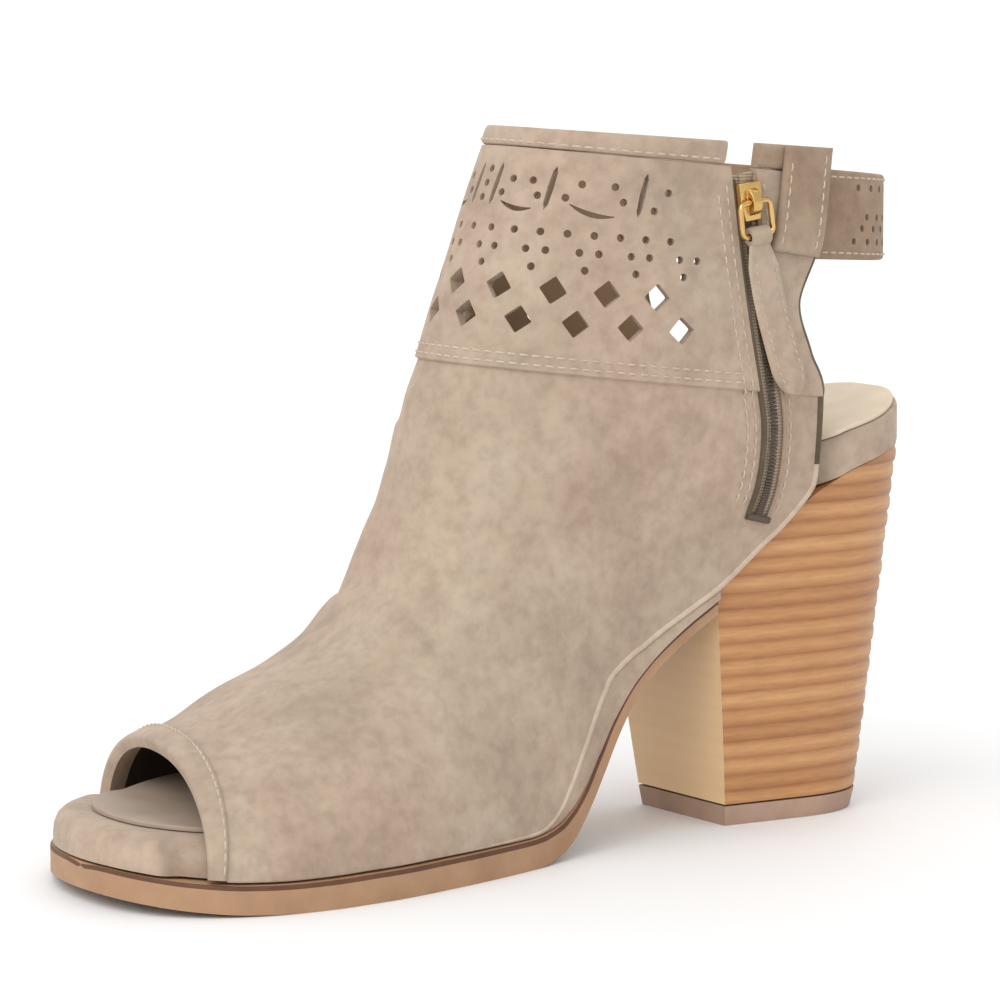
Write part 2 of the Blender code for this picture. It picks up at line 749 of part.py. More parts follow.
def zip_prism(name, half, above=0.0, first=0.0):
    """A strip along the zip, taken straight across the shoe's medial side."""
    steps = 12
    near, far = 0.15 * COLLAR_WIDTH, COLLAR_WIDTH
    vertices, faces = [], []
    for i in range(steps + 1):
        t = first + (1.0 - first) * i / steps
        _, y, z = zip_middle(t)
        _, y0, z0 = zip_middle(max(t - 0.01, 0.0))
        _, y1, z1 = zip_middle(min(t + 0.01, 1.0))
        run = math.hypot(y1 - y0, z1 - z0)
        ny, nz = (z1 - z0) / run, -(y1 - y0) / run
        if i == steps:
            y += above * (y1 - y0) / run
            z += above * (z1 - z0) / run
        for x, sign in ((near, -1), (near, 1), (far, 1), (far, -1)):
            vertices.append((x, y + sign * half * ny, z + sign * half * nz))
    for i in range(steps):
        a, b = 4 * i, 4 * (i + 1)
        for k in range(4):
            n = (k + 1) % 4
            faces.append((a + k, a + n, b + n, b + k))
    last = 4 * steps
    faces.append((3, 2, 1, 0))
    faces.append((last, last + 1, last + 2, last + 3))
    return as_cutter(add_piece(name, vertices, faces, "tape"))


def side_surface():
    """The outside of the upper's medial side, for finding how far out a point lies."""
    vertices, faces = [], []
    rows = [i * TOP_ROW / 60 for i in range(61)]
    acrosses = acrosses_between(0.0, 0.5, 40)
    for row in rows:
        for across in acrosses:
            vertices.append(upper_point(row, across))
    wide = len(acrosses)
    for i in range(len(rows) - 1):
        for k in range(wide - 1):
            a = i * wide + k
            faces.append((a, a + 1, a + wide + 1, a + wide))
    return BVHTree.FromPolygons(vertices, faces)


def side_x(tree, y, z):
    hit = tree.ray_cast(Vector((2.0 * COLLAR_WIDTH, y, z)), Vector((-1.0, 0.0, 0.0)))
    return hit[0].x if hit[0] else 0.5 * COLLAR_WIDTH


def make_zip_tape(tree):
    """Both tapes of the closed zip, as one strip that follows the medial side."""
    half = 0.5 * ZIP_WIDTH - GAP
    foot = GAP / LENGTH
    steps = 16
    rings = []
    for i in range(steps + 1):
        t = 0.006 + foot + (0.985 - 0.006) * i / steps
        _, y, z = zip_middle(t)
        _, y0, z0 = zip_middle(max(t - 0.01, 0.0))
        _, y1, z1 = zip_middle(min(t + 0.01, 1.0))
        run = math.hypot(y1 - y0, z1 - z0)
        ny, nz = (z1 - z0) / run, -(y1 - y0) / run
        ring = []
        for sign, depth in ((-1, ZIP_RECESS), (-0.3, ZIP_RECESS), (-0.3, 0.0), (0.3, 0.0),
                            (0.3, ZIP_RECESS), (1, ZIP_RECESS), (1, ZIP_RECESS + ZIP_TAPE),
                            (-1, ZIP_RECESS + ZIP_TAPE)):
            py, pz = y + sign * half * ny, z + sign * half * nz
            ring.append((side_x(tree, py, pz) - depth, py, pz))
        rings.append(ring)
    return loft("zip_tape", rings, "tape")


def slider_frame(tree):
    """Place and axes of the zip slider: out of the shoe, down the zip and across it."""
    t = 0.90
    _, y, z = zip_middle(t)
    _, y0, z0 = zip_middle(t - 0.03)
    _, y1, z1 = zip_middle(t + 0.03)
    low = Vector((side_x(tree, y0, z0), y0, z0))
    high = Vector((side_x(tree, y1, z1), y1, z1))
    down = (low - high).normalized()
    ahead = Vector((0.0, down.z, -down.y)).normalized()
    out = ahead.cross(down).normalized()
    if out.x < 0.0:
        out.negate()
    ahead = down.cross(out).normalized()
    return Vector((side_x(tree, y, z), y, z)), out, down, ahead


def box_rings(frame, outline, depth_from, depth_to):
    """Rings of a plate whose outline lies along the shoe's side."""
    centre, out, down, ahead = frame
    rings = []
    for depth in (depth_from, depth_to):
        rings.append([tuple(centre + out * depth + ahead * a + down * d) for a, d in outline])
    return rings


def round_ring(centre, first, second, radius, sides=12):
    """A circle of points in the plane of two directions."""
    ring = []
    for k in range(sides):
        angle = 2.0 * math.pi * k / sides
        ring.append(tuple(centre + (first * math.cos(angle) + second * math.sin(angle)) * radius))
    return ring


def bar(name, centre, along, half, out, down, radius, material):
    """A round bar about a point, half of its length to each side."""
    rings = [round_ring(centre + along * shift, out, down, radius) for shift in (-half, half)]
    return loft(name, rings, material)


def make_slider(frame):
    half, long = 0.5 * SLIDER_WIDTH, 0.5 * SLIDER_LENGTH
    waist = 0.72
    outline = [(-half, -long), (half, -long), (half, 0.1 * long), (half * waist, long),
               (-half * waist, long), (-half, 0.1 * long)]
    base = GAP
    top = base + SLIDER_THICKNESS - ZIP_RECESS
    plate = loft("slider_plate", box_rings(frame, outline, base, top), "gold")
    centre, out, down, ahead = frame
    arch = []
    for i in range(9):
        angle = math.pi * i / 8
        arch.append((-0.72 * long * math.cos(angle), BRIDGE_REACH * math.sin(angle)))
    rings = []
    for a in (-0.5 * BRIDGE_WIDTH, 0.5 * BRIDGE_WIDTH):
        rings.append([tuple(centre + ahead * a + down * d + out * (top - 0.0004 + o))
                      for d, o in arch])
    bridge = loft("slider_bridge", rings, "gold")
    as_cutter(bridge)
    slider = cut(plate, bridge, "UNION")
    slider.name = "zip_slider"
    hole_centre = centre + out * (top + BAIL_WIRE * 0.5 + GAP)
    cut(slider, as_cutter(bar("bail_hole", hole_centre, ahead, SLIDER_WIDTH, down, out,
                              0.5 * BAIL_WIRE + BAIL_PLAY, "gold")))
    return slider, hole_centre


def tube(name, points, radius, sides, material):
    """A closed round wire through points in one plane."""
    normal = (points[1] - points[0]).cross(points[2] - points[1]).normalized()
    vertices = []
    count = len(points)
    for i, point in enumerate(points):
        before = points[(i - 1) % count]
        after = points[(i + 1) % count]
        along = (after - before).normalized()
        across = along.cross(normal).normalized()
        vertices += round_ring(point, across, normal, radius, sides)
    faces = []
    for i in range(count):
        a, b = i * sides, ((i + 1) % count) * sides
        for k in range(sides):
            n = (k + 1) % sides
            faces.append((a + k, a + n, b + n, b + k))
    return add_piece(name, vertices, faces, material)


def make_bail(frame, axis_point):
    """The gold bail: a rounded rectangle of wire through the slider's bridge."""
    _, _, down, ahead = frame
    wide, long = 0.5 * (BAIL_WIDTH - BAIL_WIRE), BAIL_LENGTH - BAIL_WIRE
    corner = BAIL_WIRE
    points = []
    for sign_a, base_d, turn in ((1, 0.0, -90), (1, long, 0), (-1, long, 90), (-1, 0.0, 180)):
        ca = sign_a * (wide - corner)
        cd = corner if base_d == 0.0 else long - corner
        for k in range(4):
            angle = math.radians(turn + 30 * k)
            points.append(axis_point + ahead * (ca + corner * math.cos(angle))
                          + down * (cd + corner * math.sin(angle)))
    return tube("pull_bail", points, 0.5 * BAIL_WIRE, 8, "gold")


def make_tab(frame, axis_point, tree):
    """The suede tab, looped round the bail's lower bar and slanting to the back."""
    _, out, down, ahead = frame
    loop_middle = axis_point + down * (BAIL_LENGTH - BAIL_WIRE)
    loop_half = 0.5 * BAIL_WIDTH - 1.5 * BAIL_WIRE - GAP
    hole = 0.5 * BAIL_WIRE + GAP
    rings = []
    steps = 12
    for i in range(steps + 1):
        t = i / steps
        wide = 0.5 * TAB_WIDTH * (TAB_NECK + TAB_SPREAD * t)
        if t < TAB_NECK_END:
            wide = loop_half + (wide - loop_half) * t / TAB_NECK_END
        if t > TAB_TIP_START:
            tip = (t - TAB_TIP_START) / (1.0 - TAB_TIP_START)
            wide *= math.sqrt(max(1.0 - tip ** 2, 0.02))
        length = hole + 0.5 * TAB_THICKNESS + (TAB_LENGTH - 0.3 * TAB_WIDTH) * t
        middle = loop_middle + down * length - ahead * TAB_SLANT * t ** 1.2
        spots = [middle - ahead * wide, middle, middle + ahead * wide]
        floor = max(side_x(tree, spot.y, spot.z) for spot in spots) + COLLAR_LAP + TAB_CLEAR
        ease = min(2.0 * t, 1.0)
        start_x = loop_middle.x - 0.5 * TAB_THICKNESS
        x = start_x + (floor - start_x) * (3 * ease ** 2 - 2 * ease ** 3)
        first, last = spots[0], spots[2]
        rings.append([(x, first.y, first.z), (x + TAB_THICKNESS, first.y, first.z),
                      (x + TAB_THICKNESS, last.y, last.z), (x, last.y, last.z)])
    tab = loft("pull_tab", rings, "suede")
    cut(tab, as_cutter(bar("tab_loop", loop_middle, ahead, loop_half, out, down,
                           hole + 0.7 * TAB_THICKNESS, "suede")), "UNION")
    return cut(tab, as_cutter(bar("tab_hole", loop_middle, ahead, TAB_WIDTH, out, down,
                                  hole, "suede")))


# Perforations

def collar_place(along, depth):
    """Point and normal of the collar at a distance round it from the front middle,
    positive towards the medial side, and a depth below the topline binding."""
    row = collar_window(TOPLINE_BINDING + 0.5 * (LOWER_ROW + UPPER_ROW), 0.5)
    across = 0.5
    step = 0.002 if along < 0.0 else -0.002
    gone = 0.0
    here = upper_point(row, across)
    while gone < abs(along):
        across += step
        there = upper_point(row, across)
        gone += (there - here).length
        here = there
    row = collar_window(TOPLINE_BINDING + depth, across)
    return row, across


def surface_frame(along, depth):
    row, across = collar_place(along, depth)
    point = upper_point(row, across)
    normal = upper_normal(row, across)
    down = (upper_point(row - 0.05, across) - upper_point(row + 0.05, across)).normalized()
    side = normal.cross(down).normalized()
    return point, normal, down, side


def prism(frame, outline):
    point, normal, down, side = frame
    rings = []
    for depth in (COLLAR_LAP + CUTTER_REACH, -WALL - CUTTER_REACH):
        rings.append([point + normal * depth + side * s + down * d for s, d in outline])
    return rings


def perforations():
    """All diamonds and slits of the collar as one cutter of separate prisms."""
    prisms = []
    half = 0.5 * DIAMOND
    diamond = [(0.0, -half), (half, 0.0), (0.0, half), (-half, 0.0)]
    for count in range(-4, 5):
        prisms.append(prism(surface_frame(count * PITCH, UPPER_ROW), diamond))
    for count in range(-5, 5):
        prisms.append(prism(surface_frame((count + 0.5) * PITCH, LOWER_ROW), diamond))
    long, wide = 0.5 * SLIT_LENGTH, 0.5 * SLIT_WIDTH
    slit = [(0.0, -long), (wide, -0.35 * long), (wide, 0.35 * long), (0.0, long),
            (-wide, 0.35 * long), (-wide, -0.35 * long)]
    for place in SLIT_PLACES:
        prisms.append(prism(surface_frame(place * PITCH, SLIT_DEPTH), slit))
    arc = arc_outline()
    for place in ARC_PLACES:
        prisms.append(prism(surface_frame(place * PITCH, ARC_DEPTH), arc))
    vertices, faces = [], []
    for rings in prisms:
        start = len(vertices)
        count = len(rings[0])
        vertices += rings[0] + rings[1]
        for k in range(count):
            n = (k + 1) % count
            faces.append((start + k, start + n, start + count + n, start + count + k))
        faces.append(tuple(start + k for k in range(count - 1, -1, -1)))
        faces.append(tuple(start + count + k for k in range(count)))
    return as_cutter(add_piece("perforation_cutter", vertices, faces, "suede"))


def arc_outline():
    outer, inner = [], []
    for i in range(5):
        t = i / 4 * 2 - 1
        sag = ARC_SAG * (1.0 - t * t)
        thick = 0.5 * ARC_WIDTH * (1.0 - 0.85 * t * t)
        outer.append((0.5 * ARC_LENGTH * t, sag - thick))
        inner.append((0.5 * ARC_LENGTH * t, sag + thick))
    return outer + inner[::-1]


# Sling strap and keepers

def strap_point(angle, height, offset):
    """Point on the strap's oval, from the medial panel (0) round the heel to the
    lateral panel (pi)."""
    front = upper_point(TOP_ROW - 1.0, 0.0).y - STRAP_SEAT
    wide = 0.5 * COLLAR_WIDTH - WALL - BINDING_ROLL - 2.0 * GAP + offset
    back = STRAP_BACK - STRAP_THICKNESS - front + offset
    power = 2.0 / HEEL_FULLNESS
    x = wide * math.copysign(abs(math.cos(angle)) ** power, math.cos(angle))
    y = front + back * math.sin(angle) ** power
    return Vector((x, y, height - STRAP_DROP * math.sin(angle)))


def make_strap():
    top = HEEL_HEIGHT + STRAP_TOP * SHAFT_HEIGHT
    rings = []
    count = 28
    for i in range(count + 1):
        angle = math.pi * i / count
        narrow = STRAP_NARROWING * math.sin(angle)
        high = top - narrow
        low = top - STRAP_HEIGHT + narrow
        rings.append([strap_point(angle, low, 0.0), strap_point(angle, high, 0.0),
                      strap_point(angle, high, -STRAP_THICKNESS),
                      strap_point(angle, low, -STRAP_THICKNESS)])
    return loft("sling_strap", rings, "suede")


def make_keepers():
    rise = COLLAR_LAP + BINDING_ROLL + GAP
    rows = [(KEEPER_FOOT_ROW + (TOP_ROW - KEEPER_FOOT_ROW) * i / 5, 0.0) for i in range(6)]
    for name, first in (("medial_keeper", 0.0), ("lateral_keeper", 1.0 - KEEPER_REACH)):
        shell(name, rows, acrosses_between(first, first + KEEPER_REACH, 5),
              lambda row, across, lap: rise + KEEPER_THICKNESS,
              lambda row, across, lap: rise, "suede")


def main():
    clear_scene()
    make_outsole()
    make_shank_wrap()
    make_footbed()
    make_sock()
    make_lift()
    make_heel()
    make_upper()
    make_toe_binding()
    make_topline_bindings()
    tree = side_surface()
    make_zip_tape(tree)
    frame = slider_frame(tree)
    _, axis_point = make_slider(frame)
    make_bail(frame, axis_point)
    make_tab(frame, axis_point, tree)
    make_strap()
    make_keepers()


main()
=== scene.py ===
# %% [markdown]
# # A peep toe ankle boot in suede
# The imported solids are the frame: they fix every place and size. This script dresses them
# with finer surfaces, stitches, a toothed zip and finishes made of nodes. Blender can read
# the frame's meshes, but they are faceted, so the soft pieces are built again from the same
# sections at a finer step, and each one stands exactly where its solid stands.

# %% Load the frame
import json
import math
import random

import bmesh
import bpy
import numpy as np
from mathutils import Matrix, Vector
from mathutils.bvhtree import BVHTree


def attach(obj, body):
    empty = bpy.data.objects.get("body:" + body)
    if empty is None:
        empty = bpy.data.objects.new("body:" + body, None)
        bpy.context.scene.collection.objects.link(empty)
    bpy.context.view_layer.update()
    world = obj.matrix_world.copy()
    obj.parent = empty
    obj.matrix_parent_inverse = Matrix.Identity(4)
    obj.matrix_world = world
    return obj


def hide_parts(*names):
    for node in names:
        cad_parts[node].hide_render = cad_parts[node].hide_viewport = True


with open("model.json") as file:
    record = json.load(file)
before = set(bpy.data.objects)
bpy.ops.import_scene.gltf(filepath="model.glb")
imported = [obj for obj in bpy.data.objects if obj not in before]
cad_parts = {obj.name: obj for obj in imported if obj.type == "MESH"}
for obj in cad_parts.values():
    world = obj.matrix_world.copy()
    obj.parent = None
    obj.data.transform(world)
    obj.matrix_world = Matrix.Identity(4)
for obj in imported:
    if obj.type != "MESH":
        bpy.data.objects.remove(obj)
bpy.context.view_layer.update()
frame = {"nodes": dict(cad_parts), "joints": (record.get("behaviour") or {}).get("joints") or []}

for name in ("Cube", "Light", "Camera"):
    if name in bpy.data.objects:
        bpy.data.objects.remove(bpy.data.objects[name], do_unlink=True)
print("nodes in the frame:", len(frame["nodes"]))

# %% [markdown]
# ## Sizes of the last
# A shoemaker works out every shape from the last: its length, ball width, heel height and
# instep. The tables hold shares of those named sizes, so that the whole shoe can be made
# again from a few lengths.

# %% Sizes
LENGTH = 0.2300
SEAT_BACK = 0.0335
BALL_WIDTH = 0.0940
SEAT_WIDTH = 0.0550
HEEL_HEIGHT = 0.0935
TOE_SPRING = 0.0033
INSTEP_HEIGHT = 0.0620
SHAFT_HEIGHT = 0.0770
COLLAR_WIDTH = 0.0630
GAP = 0.0003
WALL = 0.0018
COLLAR_LAP = 0.0009
BINDING_ROLL = 0.0006
TOE_BINDING = 0.0062
TOPLINE_BINDING = 0.0048
TOE_CAP, TOE_POWER = 0.78, 2.1
SEAT_CAP, SEAT_POWER = 0.1215, 2.2
BREAST_TOP, BREAST_FLOOR = -0.0306, -0.0235
SLOPE_STEP = 0.004

# Share of the length from the back, named width, medial half, lateral half, middle shift
OUTLINE = (
    (0.0000, SEAT_WIDTH, 0.500, 0.500, 0.000),
    (0.1166, SEAT_WIDTH, 0.505, 0.500, 0.000),
    (0.2721, SEAT_WIDTH, 0.465, 0.470, 0.000),
    (0.3498, SEAT_WIDTH, 0.462, 0.480, 0.000),
    (0.4276, SEAT_WIDTH, 0.485, 0.530, 0.000),
    (0.4859, SEAT_WIDTH, 0.545, 0.600, 0.000),
    (0.5150, BALL_WIDTH, 0.345, 0.385, 0.000),
    (0.5830, BALL_WIDTH, 0.400, 0.440, 0.000),
    (0.6608, BALL_WIDTH, 0.450, 0.485, 0.000),
    (0.7482, BALL_WIDTH, 0.490, 0.500, 0.000),
    (0.8139, BALL_WIDTH, 0.496, 0.496, 0.008),
    (0.8905, BALL_WIDTH, 0.490, 0.490, 0.040),
    (1.0000, BALL_WIDTH, 0.480, 0.480, 0.110),
)

# Share of the length, tread by heel height, tread by toe spring, outsole, shank and lip
PROFILE = (
    (0.0000, 0.935, 0.00, 0.44, 0.40, -1.0),
    (0.0486, 0.900, 0.00, 0.44, 0.40, -1.0),
    (0.1108, 0.860, 0.00, 0.44, 0.40, -1.0),
    (0.1458, 0.820, 0.00, 0.44, 0.36, -1.0),
    (0.1749, 0.772, 0.00, 0.44, 0.36, -1.0),
    (0.2167, 0.692, 0.00, 0.44, 0.36, -1.0),
    (0.2604, 0.603, 0.00, 0.44, 0.36, -1.0),
    (0.2787, 0.572, 0.00, 0.44, 0.36, -1.0),
    (0.3109, 0.524, 0.00, 0.44, 0.40, -1.0),
    (0.3413, 0.472, 0.00, 0.44, 0.50, -1.0),
    (0.3630, 0.428, 0.00, 0.44, 0.60, -1.0),
    (0.3834, 0.378, 0.00, 0.44, 0.70, -0.8),
    (0.3987, 0.330, 0.00, 0.44, 0.80, -0.6),
    (0.4152, 0.268, 0.00, 0.45, 0.92, -0.3),
    (0.4305, 0.203, 0.00, 0.47, 1.00, 0.0),
    (0.4544, 0.113, 0.00, 0.55, 0.98, 0.3),
    (0.4765, 0.054, 0.00, 0.72, 0.72, 0.6),
    (0.4922, 0.027, 0.00, 0.88, 0.42, 0.8),
    (0.5152, 0.008, 0.00, 0.98, 0.08, 0.9),
    (0.5267, 0.003, 0.00, 1.00, 0.00, 1.0),
    (0.5490, 0.000, 0.00, 1.00, 0.00, 1.0),
    (0.8358, 0.000, 0.00, 0.96, 0.00, 1.0),
    (0.9020, 0.000, 0.15, 0.94, 0.00, 1.0),
    (0.9511, 0.000, 0.48, 0.92, 0.00, 1.0),
    (1.0000, 0.000, 1.00, 0.90, 0.00, 1.0),
)

# Ridge share, ridge sideways, ridge height by instep, heel and shaft, medial and lateral
# edge share, edge lift, collar share, fullness and side bulge, from the toe to the collar
SECTIONS = (
    (0.8807, -0.055, 0.499, 0.00, 0.000, 0.9323, 0.8551, 0.000, 0.00, 2.25, 0.000),
    (0.8230, -0.060, 0.565, 0.00, 0.000, 0.8990, 0.8139, 0.000, 0.00, 2.20, 0.005),
    (0.7634, -0.060, 0.672, 0.00, 0.000, 0.8139, 0.7592, 0.000, 0.00, 2.15, 0.010),
    (0.7034, -0.060, 0.766, 0.00, 0.000, 0.7366, 0.7016, 0.000, 0.00, 2.10, 0.015),
    (0.6600, -0.060, 0.873, 0.00, 0.000, 0.6588, 0.6326, 0.000, 0.00, 2.10, 0.025),
    (0.6320, -0.058, 1.000, 0.00, 0.000, 0.5714, 0.5539, 0.000, 0.00, 2.10, 0.045),
    (0.6148, -0.055, 0.800, 0.24, 0.000, 0.4839, 0.4762, 0.000, 0.00, 2.10, 0.075),
    (0.6032, -0.048, 0.500, 0.54, 0.000, 0.3936, 0.3887, 0.000, 0.00, 2.10, 0.105),
    (0.5920, -0.040, 0.220, 0.83, 0.000, 0.3022, 0.3022, 0.000, 0.00, 2.15, 0.120),
    (0.5809, -0.030, 0.050, 1.00, 0.060, 0.2235, 0.2235, 0.000, 0.20, 2.20, 0.105),
    (0.5734, -0.020, 0.000, 1.00, 0.175, 0.1759, 0.1759, 0.060, 0.70, 2.25, 0.080),
    (0.5588, -0.012, 0.000, 1.00, 0.283, 0.1730, 0.1730, 0.325, 1.00, 2.30, 0.055),
    (0.5419, -0.005, 0.000, 1.00, 0.440, 0.1900, 0.1900, 0.500, 1.00, 2.30, 0.040),
    (0.5229, 0.003, 0.000, 1.00, 0.597, 0.2060, 0.2060, 0.690, 1.00, 2.30, 0.030),
    (0.5036, 0.012, 0.000, 1.00, 0.780, 0.1800, 0.1800, 0.830, 1.00, 2.30, 0.022),
    (0.4767, 0.030, 0.000, 1.00, 0.992, 0.1691, 0.1691, 1.090, 1.00, 2.35, 0.018),
)
SEAM_ROW = 11
TOP_ROW = len(SECTIONS) - 1


def through(xs, ys, at):
    """Monotone cubic through a few points, so flat stretches stay flat."""
    if at <= xs[0]:
        return ys[0]
    if at >= xs[-1]:
        return ys[-1]
    steps = [b - a for a, b in zip(xs, xs[1:])]
    slopes = [(b - a) / h for a, b, h in zip(ys, ys[1:], steps)]
    index = max(i for i in range(len(steps)) if at >= xs[i])

    def tangent(i):
        if i == 0 or i == len(slopes):
            return slopes[min(i, len(slopes) - 1)]
        before, after = slopes[i - 1], slopes[i]
        if before * after <= 0.0:
            return 0.0
        first, second = 2.0 * steps[i] + steps[i - 1], steps[i] + 2.0 * steps[i - 1]
        return (first + second) / (first / before + second / after)

    h = steps[index]
    t = (at - xs[index]) / h
    t2, t3 = t * t, t * t * t
    return ((2 * t3 - 3 * t2 + 1) * ys[index] + (t3 - 2 * t2 + t) * h * tangent(index)
            + (3 * t2 - 2 * t3) * ys[index + 1] + (t3 - t2) * h * tangent(index + 1))


def column(rows, number, at):
    return through([row[0] for row in rows], [row[number] for row in rows], at)


def y_at(share):
    return SEAT_BACK - share * LENGTH


def share_of(y):
    return (SEAT_BACK - y) / LENGTH


print("last: %.0f mm long, heel %.0f mm" % (LENGTH * 1000, HEEL_HEIGHT * 1000))

# %% [markdown]
# ## Helpers for meshes
# Almost every piece of a shoe is a strip or a layer with a constant profile, so most pieces
# are lofts: rings of points joined by quads. A tube along a path does for piping, wire and
# thread. Each helper hands its points to one function that makes the object, ties it to its
# body and notes the frame's node that it stands for.

# %% Mesh helpers
def closed_mesh(name, points, faces):
    """A mesh with all its faces turned outwards."""
    mesh = bpy.data.meshes.new(name)
    mesh.from_pydata([tuple(p) for p in points], [], faces)
    work = bmesh.new()
    work.from_mesh(mesh)
    bmesh.ops.recalc_face_normals(work, faces=work.faces)
    work.to_mesh(mesh)
    work.free()
    return mesh


def placed(name, data):
    """A new object in the scene for a mesh, lamp or camera."""
    made = bpy.data.objects.new(name, data)
    bpy.context.collection.objects.link(made)
    return made


def smoothed(piece, degrees):
    piece.data.shade_smooth()
    piece.data.set_sharp_from_angle(angle=math.radians(degrees))


def show(name, points, faces, materials, nodes=(), body="shoe", smooth=40.0, kinds=None):
    piece = placed(name, closed_mesh(name, points, faces))
    for material in materials:
        piece.data.materials.append(material)
    if kinds is not None:
        piece.data.polygons.foreach_set("material_index", kinds)
    smoothed(piece, smooth)
    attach(piece, body)
    if nodes:
        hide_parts(*nodes)
    print("%s: %d faces" % (name, len(piece.data.polygons)))
    return piece


def loft_faces(count, ring, start=0, closed=False, capped=True):
    faces = []
    for i in range(count if closed else count - 1):
        a, b = start + i * ring, start + (i + 1) % count * ring
        faces += [(a + k, a + (k + 1) % ring, b + (k + 1) % ring, b + k) for k in range(ring)]
    if capped and not closed:
        faces.append(tuple(start + k for k in range(ring - 1, -1, -1)))
        faces.append(tuple(start + (count - 1) * ring + k for k in range(ring)))
    return faces


def slab(outside, inside):
    """Closed slab between two grids: its points, its faces, and 1 for each inside face."""
    tall, wide = outside.shape[:2]
    layer = tall * wide
    faces, kinds = [], []
    for i in range(tall - 1):
        for a in range(i * wide, (i + 1) * wide - 1):
            b = a + wide
            faces += [(a, a + 1, b + 1, b), (layer + a, layer + b, layer + b + 1, layer + a + 1)]
            kinds += [0, 1]
    rim = (list(range(wide)) + [i * wide + wide - 1 for i in range(1, tall)]
           + [(tall - 1) * wide + k for k in range(wide - 2, -1, -1)]
           + [i * wide for i in range(tall - 2, 0, -1)])
    for a, b in zip(rim, rim[1:] + rim[:1]):
        faces.append((a, layer + a, layer + b, b))
        kinds.append(0)
    return np.concatenate([outside.reshape(-1, 3), inside.reshape(-1, 3)]), faces, kinds


def unit(v):
    return v / np.linalg.norm(v, axis=-1, keepdims=True)


def distances(path):
    """Distance along a path from its first point to each of its points."""
    return np.concatenate([[0.0], np.cumsum(np.linalg.norm(np.diff(path, axis=0), axis=1))])


def part_way(value, first, last):
    """0 up to the first value, 1 from the last one on, and straight between."""
    return min(max((value - first) / (last - first), 0.0), 1.0)


def soft_step(t):
    return t * t * (3.0 - 2.0 * t)


def tube_rings(path, normals, radii, sides, flat=1.0):
    """Rings round a path; the normals say which way is up on it."""
    path = np.asarray(path, float)
    along = unit(np.gradient(path, axis=0))
    side = unit(np.cross(along, normals))
    up = np.cross(side, along)
    turn = np.arange(sides) * 2.0 * math.pi / sides
    radii = np.broadcast_to(radii, (len(path),))[:, None, None]
    return (path[:, None] + side[:, None] * np.cos(turn)[None, :, None] * radii
            + up[:, None] * np.sin(turn)[None, :, None] * radii * flat)


def tube(name, path, normals, radii, sides, material):
    rings = tube_rings(path, normals, radii, sides)
    return show(name, rings.reshape(-1, 3), loft_faces(len(path), sides), [material],
                smooth=60.0)


def applied(piece):
    """Turn a piece's modifiers into plain mesh."""
    graph = bpy.context.evaluated_depsgraph_get()
    made = bpy.data.meshes.new_from_object(piece.evaluated_get(graph), depsgraph=graph)
    piece.modifiers.clear()
    piece.data = made


def carve(piece, points, faces, smooth=40.0):
    """Cut closed prisms out of a piece."""
    cutter = placed("cutter", closed_mesh("cutter", points, faces))
    modifier = piece.modifiers.new("cut", "BOOLEAN")
    modifier.operation = "DIFFERENCE"
    modifier.solver = "EXACT"
    modifier.object = cutter
    applied(piece)
    bpy.data.objects.remove(cutter, do_unlink=True)
    smoothed(piece, smooth)


print("helpers ready")

# %% [markdown]
# ## Suede and the other finishes
# Suede is leather with its fibres raised: no gloss, a soft bright rim where the fibres face
# away, and cloudy patches where the nap was brushed different ways. An image could show it,
# but noise in the object's own space has no seams and keeps its scale. Three sizes of noise
# are mixed: brushed clouds of about 2 cm, spots of a few millimetres and the fibres.

# %% Finishes
def blank(name, rough=0.6, metal=0.0):
    made = bpy.data.materials.new(name)
    made.use_nodes = True
    shader = made.node_tree.nodes["Principled BSDF"]
    shader.inputs["Roughness"].default_value = rough
    shader.inputs["Metallic"].default_value = metal
    return made, made.node_tree, shader


def add(tree, kind, **sockets):
    node = tree.nodes.new(kind)
    for key, value in sockets.items():
        node.inputs[key.replace("_", " ")].default_value = value
    return node


def place_of(tree, stretch=(1.0, 1.0, 1.0)):
    where = tree.nodes.new("ShaderNodeTexCoord")
    scaled = add(tree, "ShaderNodeMapping", Scale=stretch)
    tree.links.new(where.outputs["Object"], scaled.inputs["Vector"])
    return scaled.outputs["Vector"]


def noise(tree, where, scale, detail=3.0, rough=0.55):
    made = add(tree, "ShaderNodeTexNoise", Scale=scale, Detail=detail, Roughness=rough)
    tree.links.new(where, made.inputs["Vector"])
    return made.outputs["Fac"]


def axis_of(tree, vector, axis):
    split = tree.nodes.new("ShaderNodeSeparateXYZ")
    tree.links.new(vector, split.inputs[0])
    return split.outputs[axis]


def ramp(tree, value, *stops):
    made = tree.nodes.new("ShaderNodeValToRGB")
    tree.links.new(value, made.inputs["Fac"])
    while len(made.color_ramp.elements) < len(stops):
        made.color_ramp.elements.new(0.5)
    for element, (at, colour) in zip(made.color_ramp.elements, stops):
        element.position = at
        element.color = (*colour, 1.0)
    return made.outputs["Color"]


def blend(tree, kind, factor, first, second):
    made = tree.nodes.new("ShaderNodeMix")
    made.data_type = "RGBA"
    made.blend_type = kind
    for name, value in (("Factor", factor), ("A", first), ("B", second)):
        socket = next(s for s in made.inputs if s.name == name and s.enabled)
        if isinstance(value, bpy.types.NodeSocket):
            tree.links.new(value, socket)
        elif name == "Factor":
            socket.default_value = value
        else:
            socket.default_value = (*value, 1.0)
    return next(s for s in made.outputs if s.enabled)


def bumped(tree, shader, value, strength, distance):
    made = add(tree, "ShaderNodeBump", Strength=strength, Distance=distance)
    tree.links.new(value, made.inputs["Height"])
    tree.links.new(made.outputs["Normal"], shader.inputs["Normal"])


